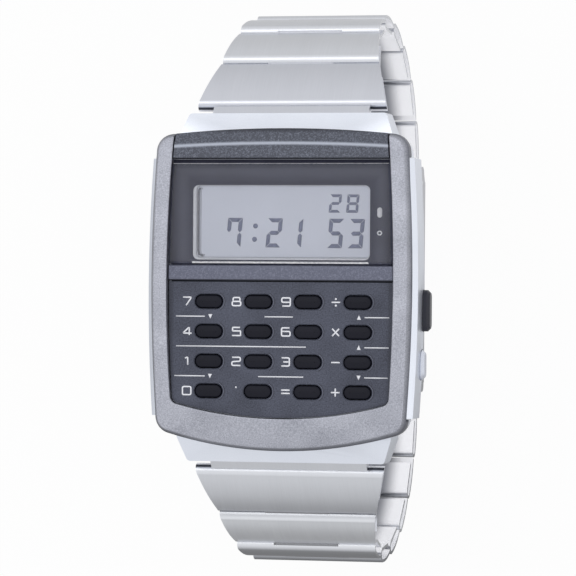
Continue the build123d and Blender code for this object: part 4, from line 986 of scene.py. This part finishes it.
# floor, world and lamps
stageSizes = {"floorRadius": 0.16, "corners": 96, "floorWhite": 0.86, "roughness": 0.9, "shadowShare": 0.06,
              "side": 0.28, "sideFrom": 0.016, "sideTo": 0.03, "lowFrom": -0.03, "lowTo": 0.03}
surrounds = {"top": 0.93, "above": 0.9, "below": -0.7, "back": 0.66, "front": 0.29,
             "colour": (0.985, 0.99, 1.0, 1), "side": 0.3, "sideFrom": 0.2, "sideTo": 1.0,
             "lowFrom": -0.9, "lowTo": 0.3}
lamps = (
    {"name": "keyLamp", "at": (-0.15, 0.23, 0.58), "size": 0.26, "watts": 0.25},
    {"name": "fillLamp", "at": (0.38, -0.10, 0.34), "size": 0.30, "watts": 0.1},
)


# How bright the room is low down: even behind 12 o'clock, falling off in front of 6 o'clock, and
# a little brighter on the 3 o'clock side
def lowLight(tree, split, s):
    side = fade(tree, split["X"], s["sideFrom"], s["sideTo"], s["side"])
    dark, bright = surrounds["front"], surrounds["back"]
    along = rangeNode(tree, split["Y"], s["lowFrom"], s["lowTo"], dark, bright, True)
    return mathNode(tree, "ADD", along, side)


# A pale disc: white to the camera apart from a share of its real shading, and graded to reflections
def makeFloor(s):
    turn = np.linspace(0, 2 * np.pi, s["corners"], endpoint=False)
    ring = np.column_stack([circlePoints(turn) * s["floorRadius"], np.zeros(s["corners"])])
    data = bpy.data.meshes.new("floor")
    data.from_pydata(ring.tolist(), [], [list(range(s["corners"]))])
    white = (*[s["floorWhite"]] * 3, 1)
    material, tree, shader, position = startMaterial("paleFloor", white, 0.0, s["roughness"])
    path = addNode(tree, "ShaderNodeLightPath").outputs
    direct = largest(tree, path["Is Camera Ray"], path["Is Transmission Ray"])
    seen = largest(tree, direct, path["Is Glossy Ray"])
    graded = product(tree, path["Is Glossy Ray"], lowLight(tree, splitVector(tree, position), s))
    plain = addNode(tree, "ShaderNodeEmission")
    tree.links.new(largest(tree, direct, graded), plain.inputs["Strength"])
    mixShaders(tree, product(tree, seen, 1 - s["shadowShare"]), shader, plain)
    data.materials.append(material)
    floor = bpy.data.objects.new("floor", data)
    bpy.context.collection.objects.link(floor)


# White to the camera; to the object a soft dome, bright above and darker low down
def makeWorld(w):
    world = bpy.data.worlds.new("studio")
    world.use_nodes = True
    bpy.context.scene.world = world
    tree = world.node_tree
    split = splitVector(tree, addNode(tree, "ShaderNodeTexCoord").outputs["Generated"])
    low = lowLight(tree, split, w)
    rise = fade(tree, split["Z"], w["below"], w["above"])
    strength = mathNode(tree, "ADD", product(tree, mathNode(tree, "SUBTRACT", w["top"], low), rise), low)
    seen = addNode(tree, "ShaderNodeLightPath").outputs["Is Camera Ray"]
    dome = product(tree, mathNode(tree, "SUBTRACT", 1.0, seen), strength)
    ground = tree.nodes["Background"]
    tree.links.new(mathNode(tree, "ADD", dome, seen), ground.inputs["Strength"])
    ground.inputs["Color"].default_value = w["colour"]


def makeLamp(s):
    data = bpy.data.lights.new(s["name"], "AREA")
    data.shape = "SQUARE"
    data.size = s["size"]
    data.energy = s["watts"]
    lamp = bpy.data.objects.new(s["name"], data)
    lamp.location = s["at"]
    lamp.rotation_mode = "QUATERNION"
    lamp.rotation_quaternion = (Vector((0, 0, faceHeight)) - lamp.location).to_track_quat("-Z", "Y")
    bpy.context.collection.objects.link(lamp)


makeFloor(stageSizes)
makeWorld(surrounds)
for lampSizes in lamps:
    makeLamp(lampSizes)
print("stage set")
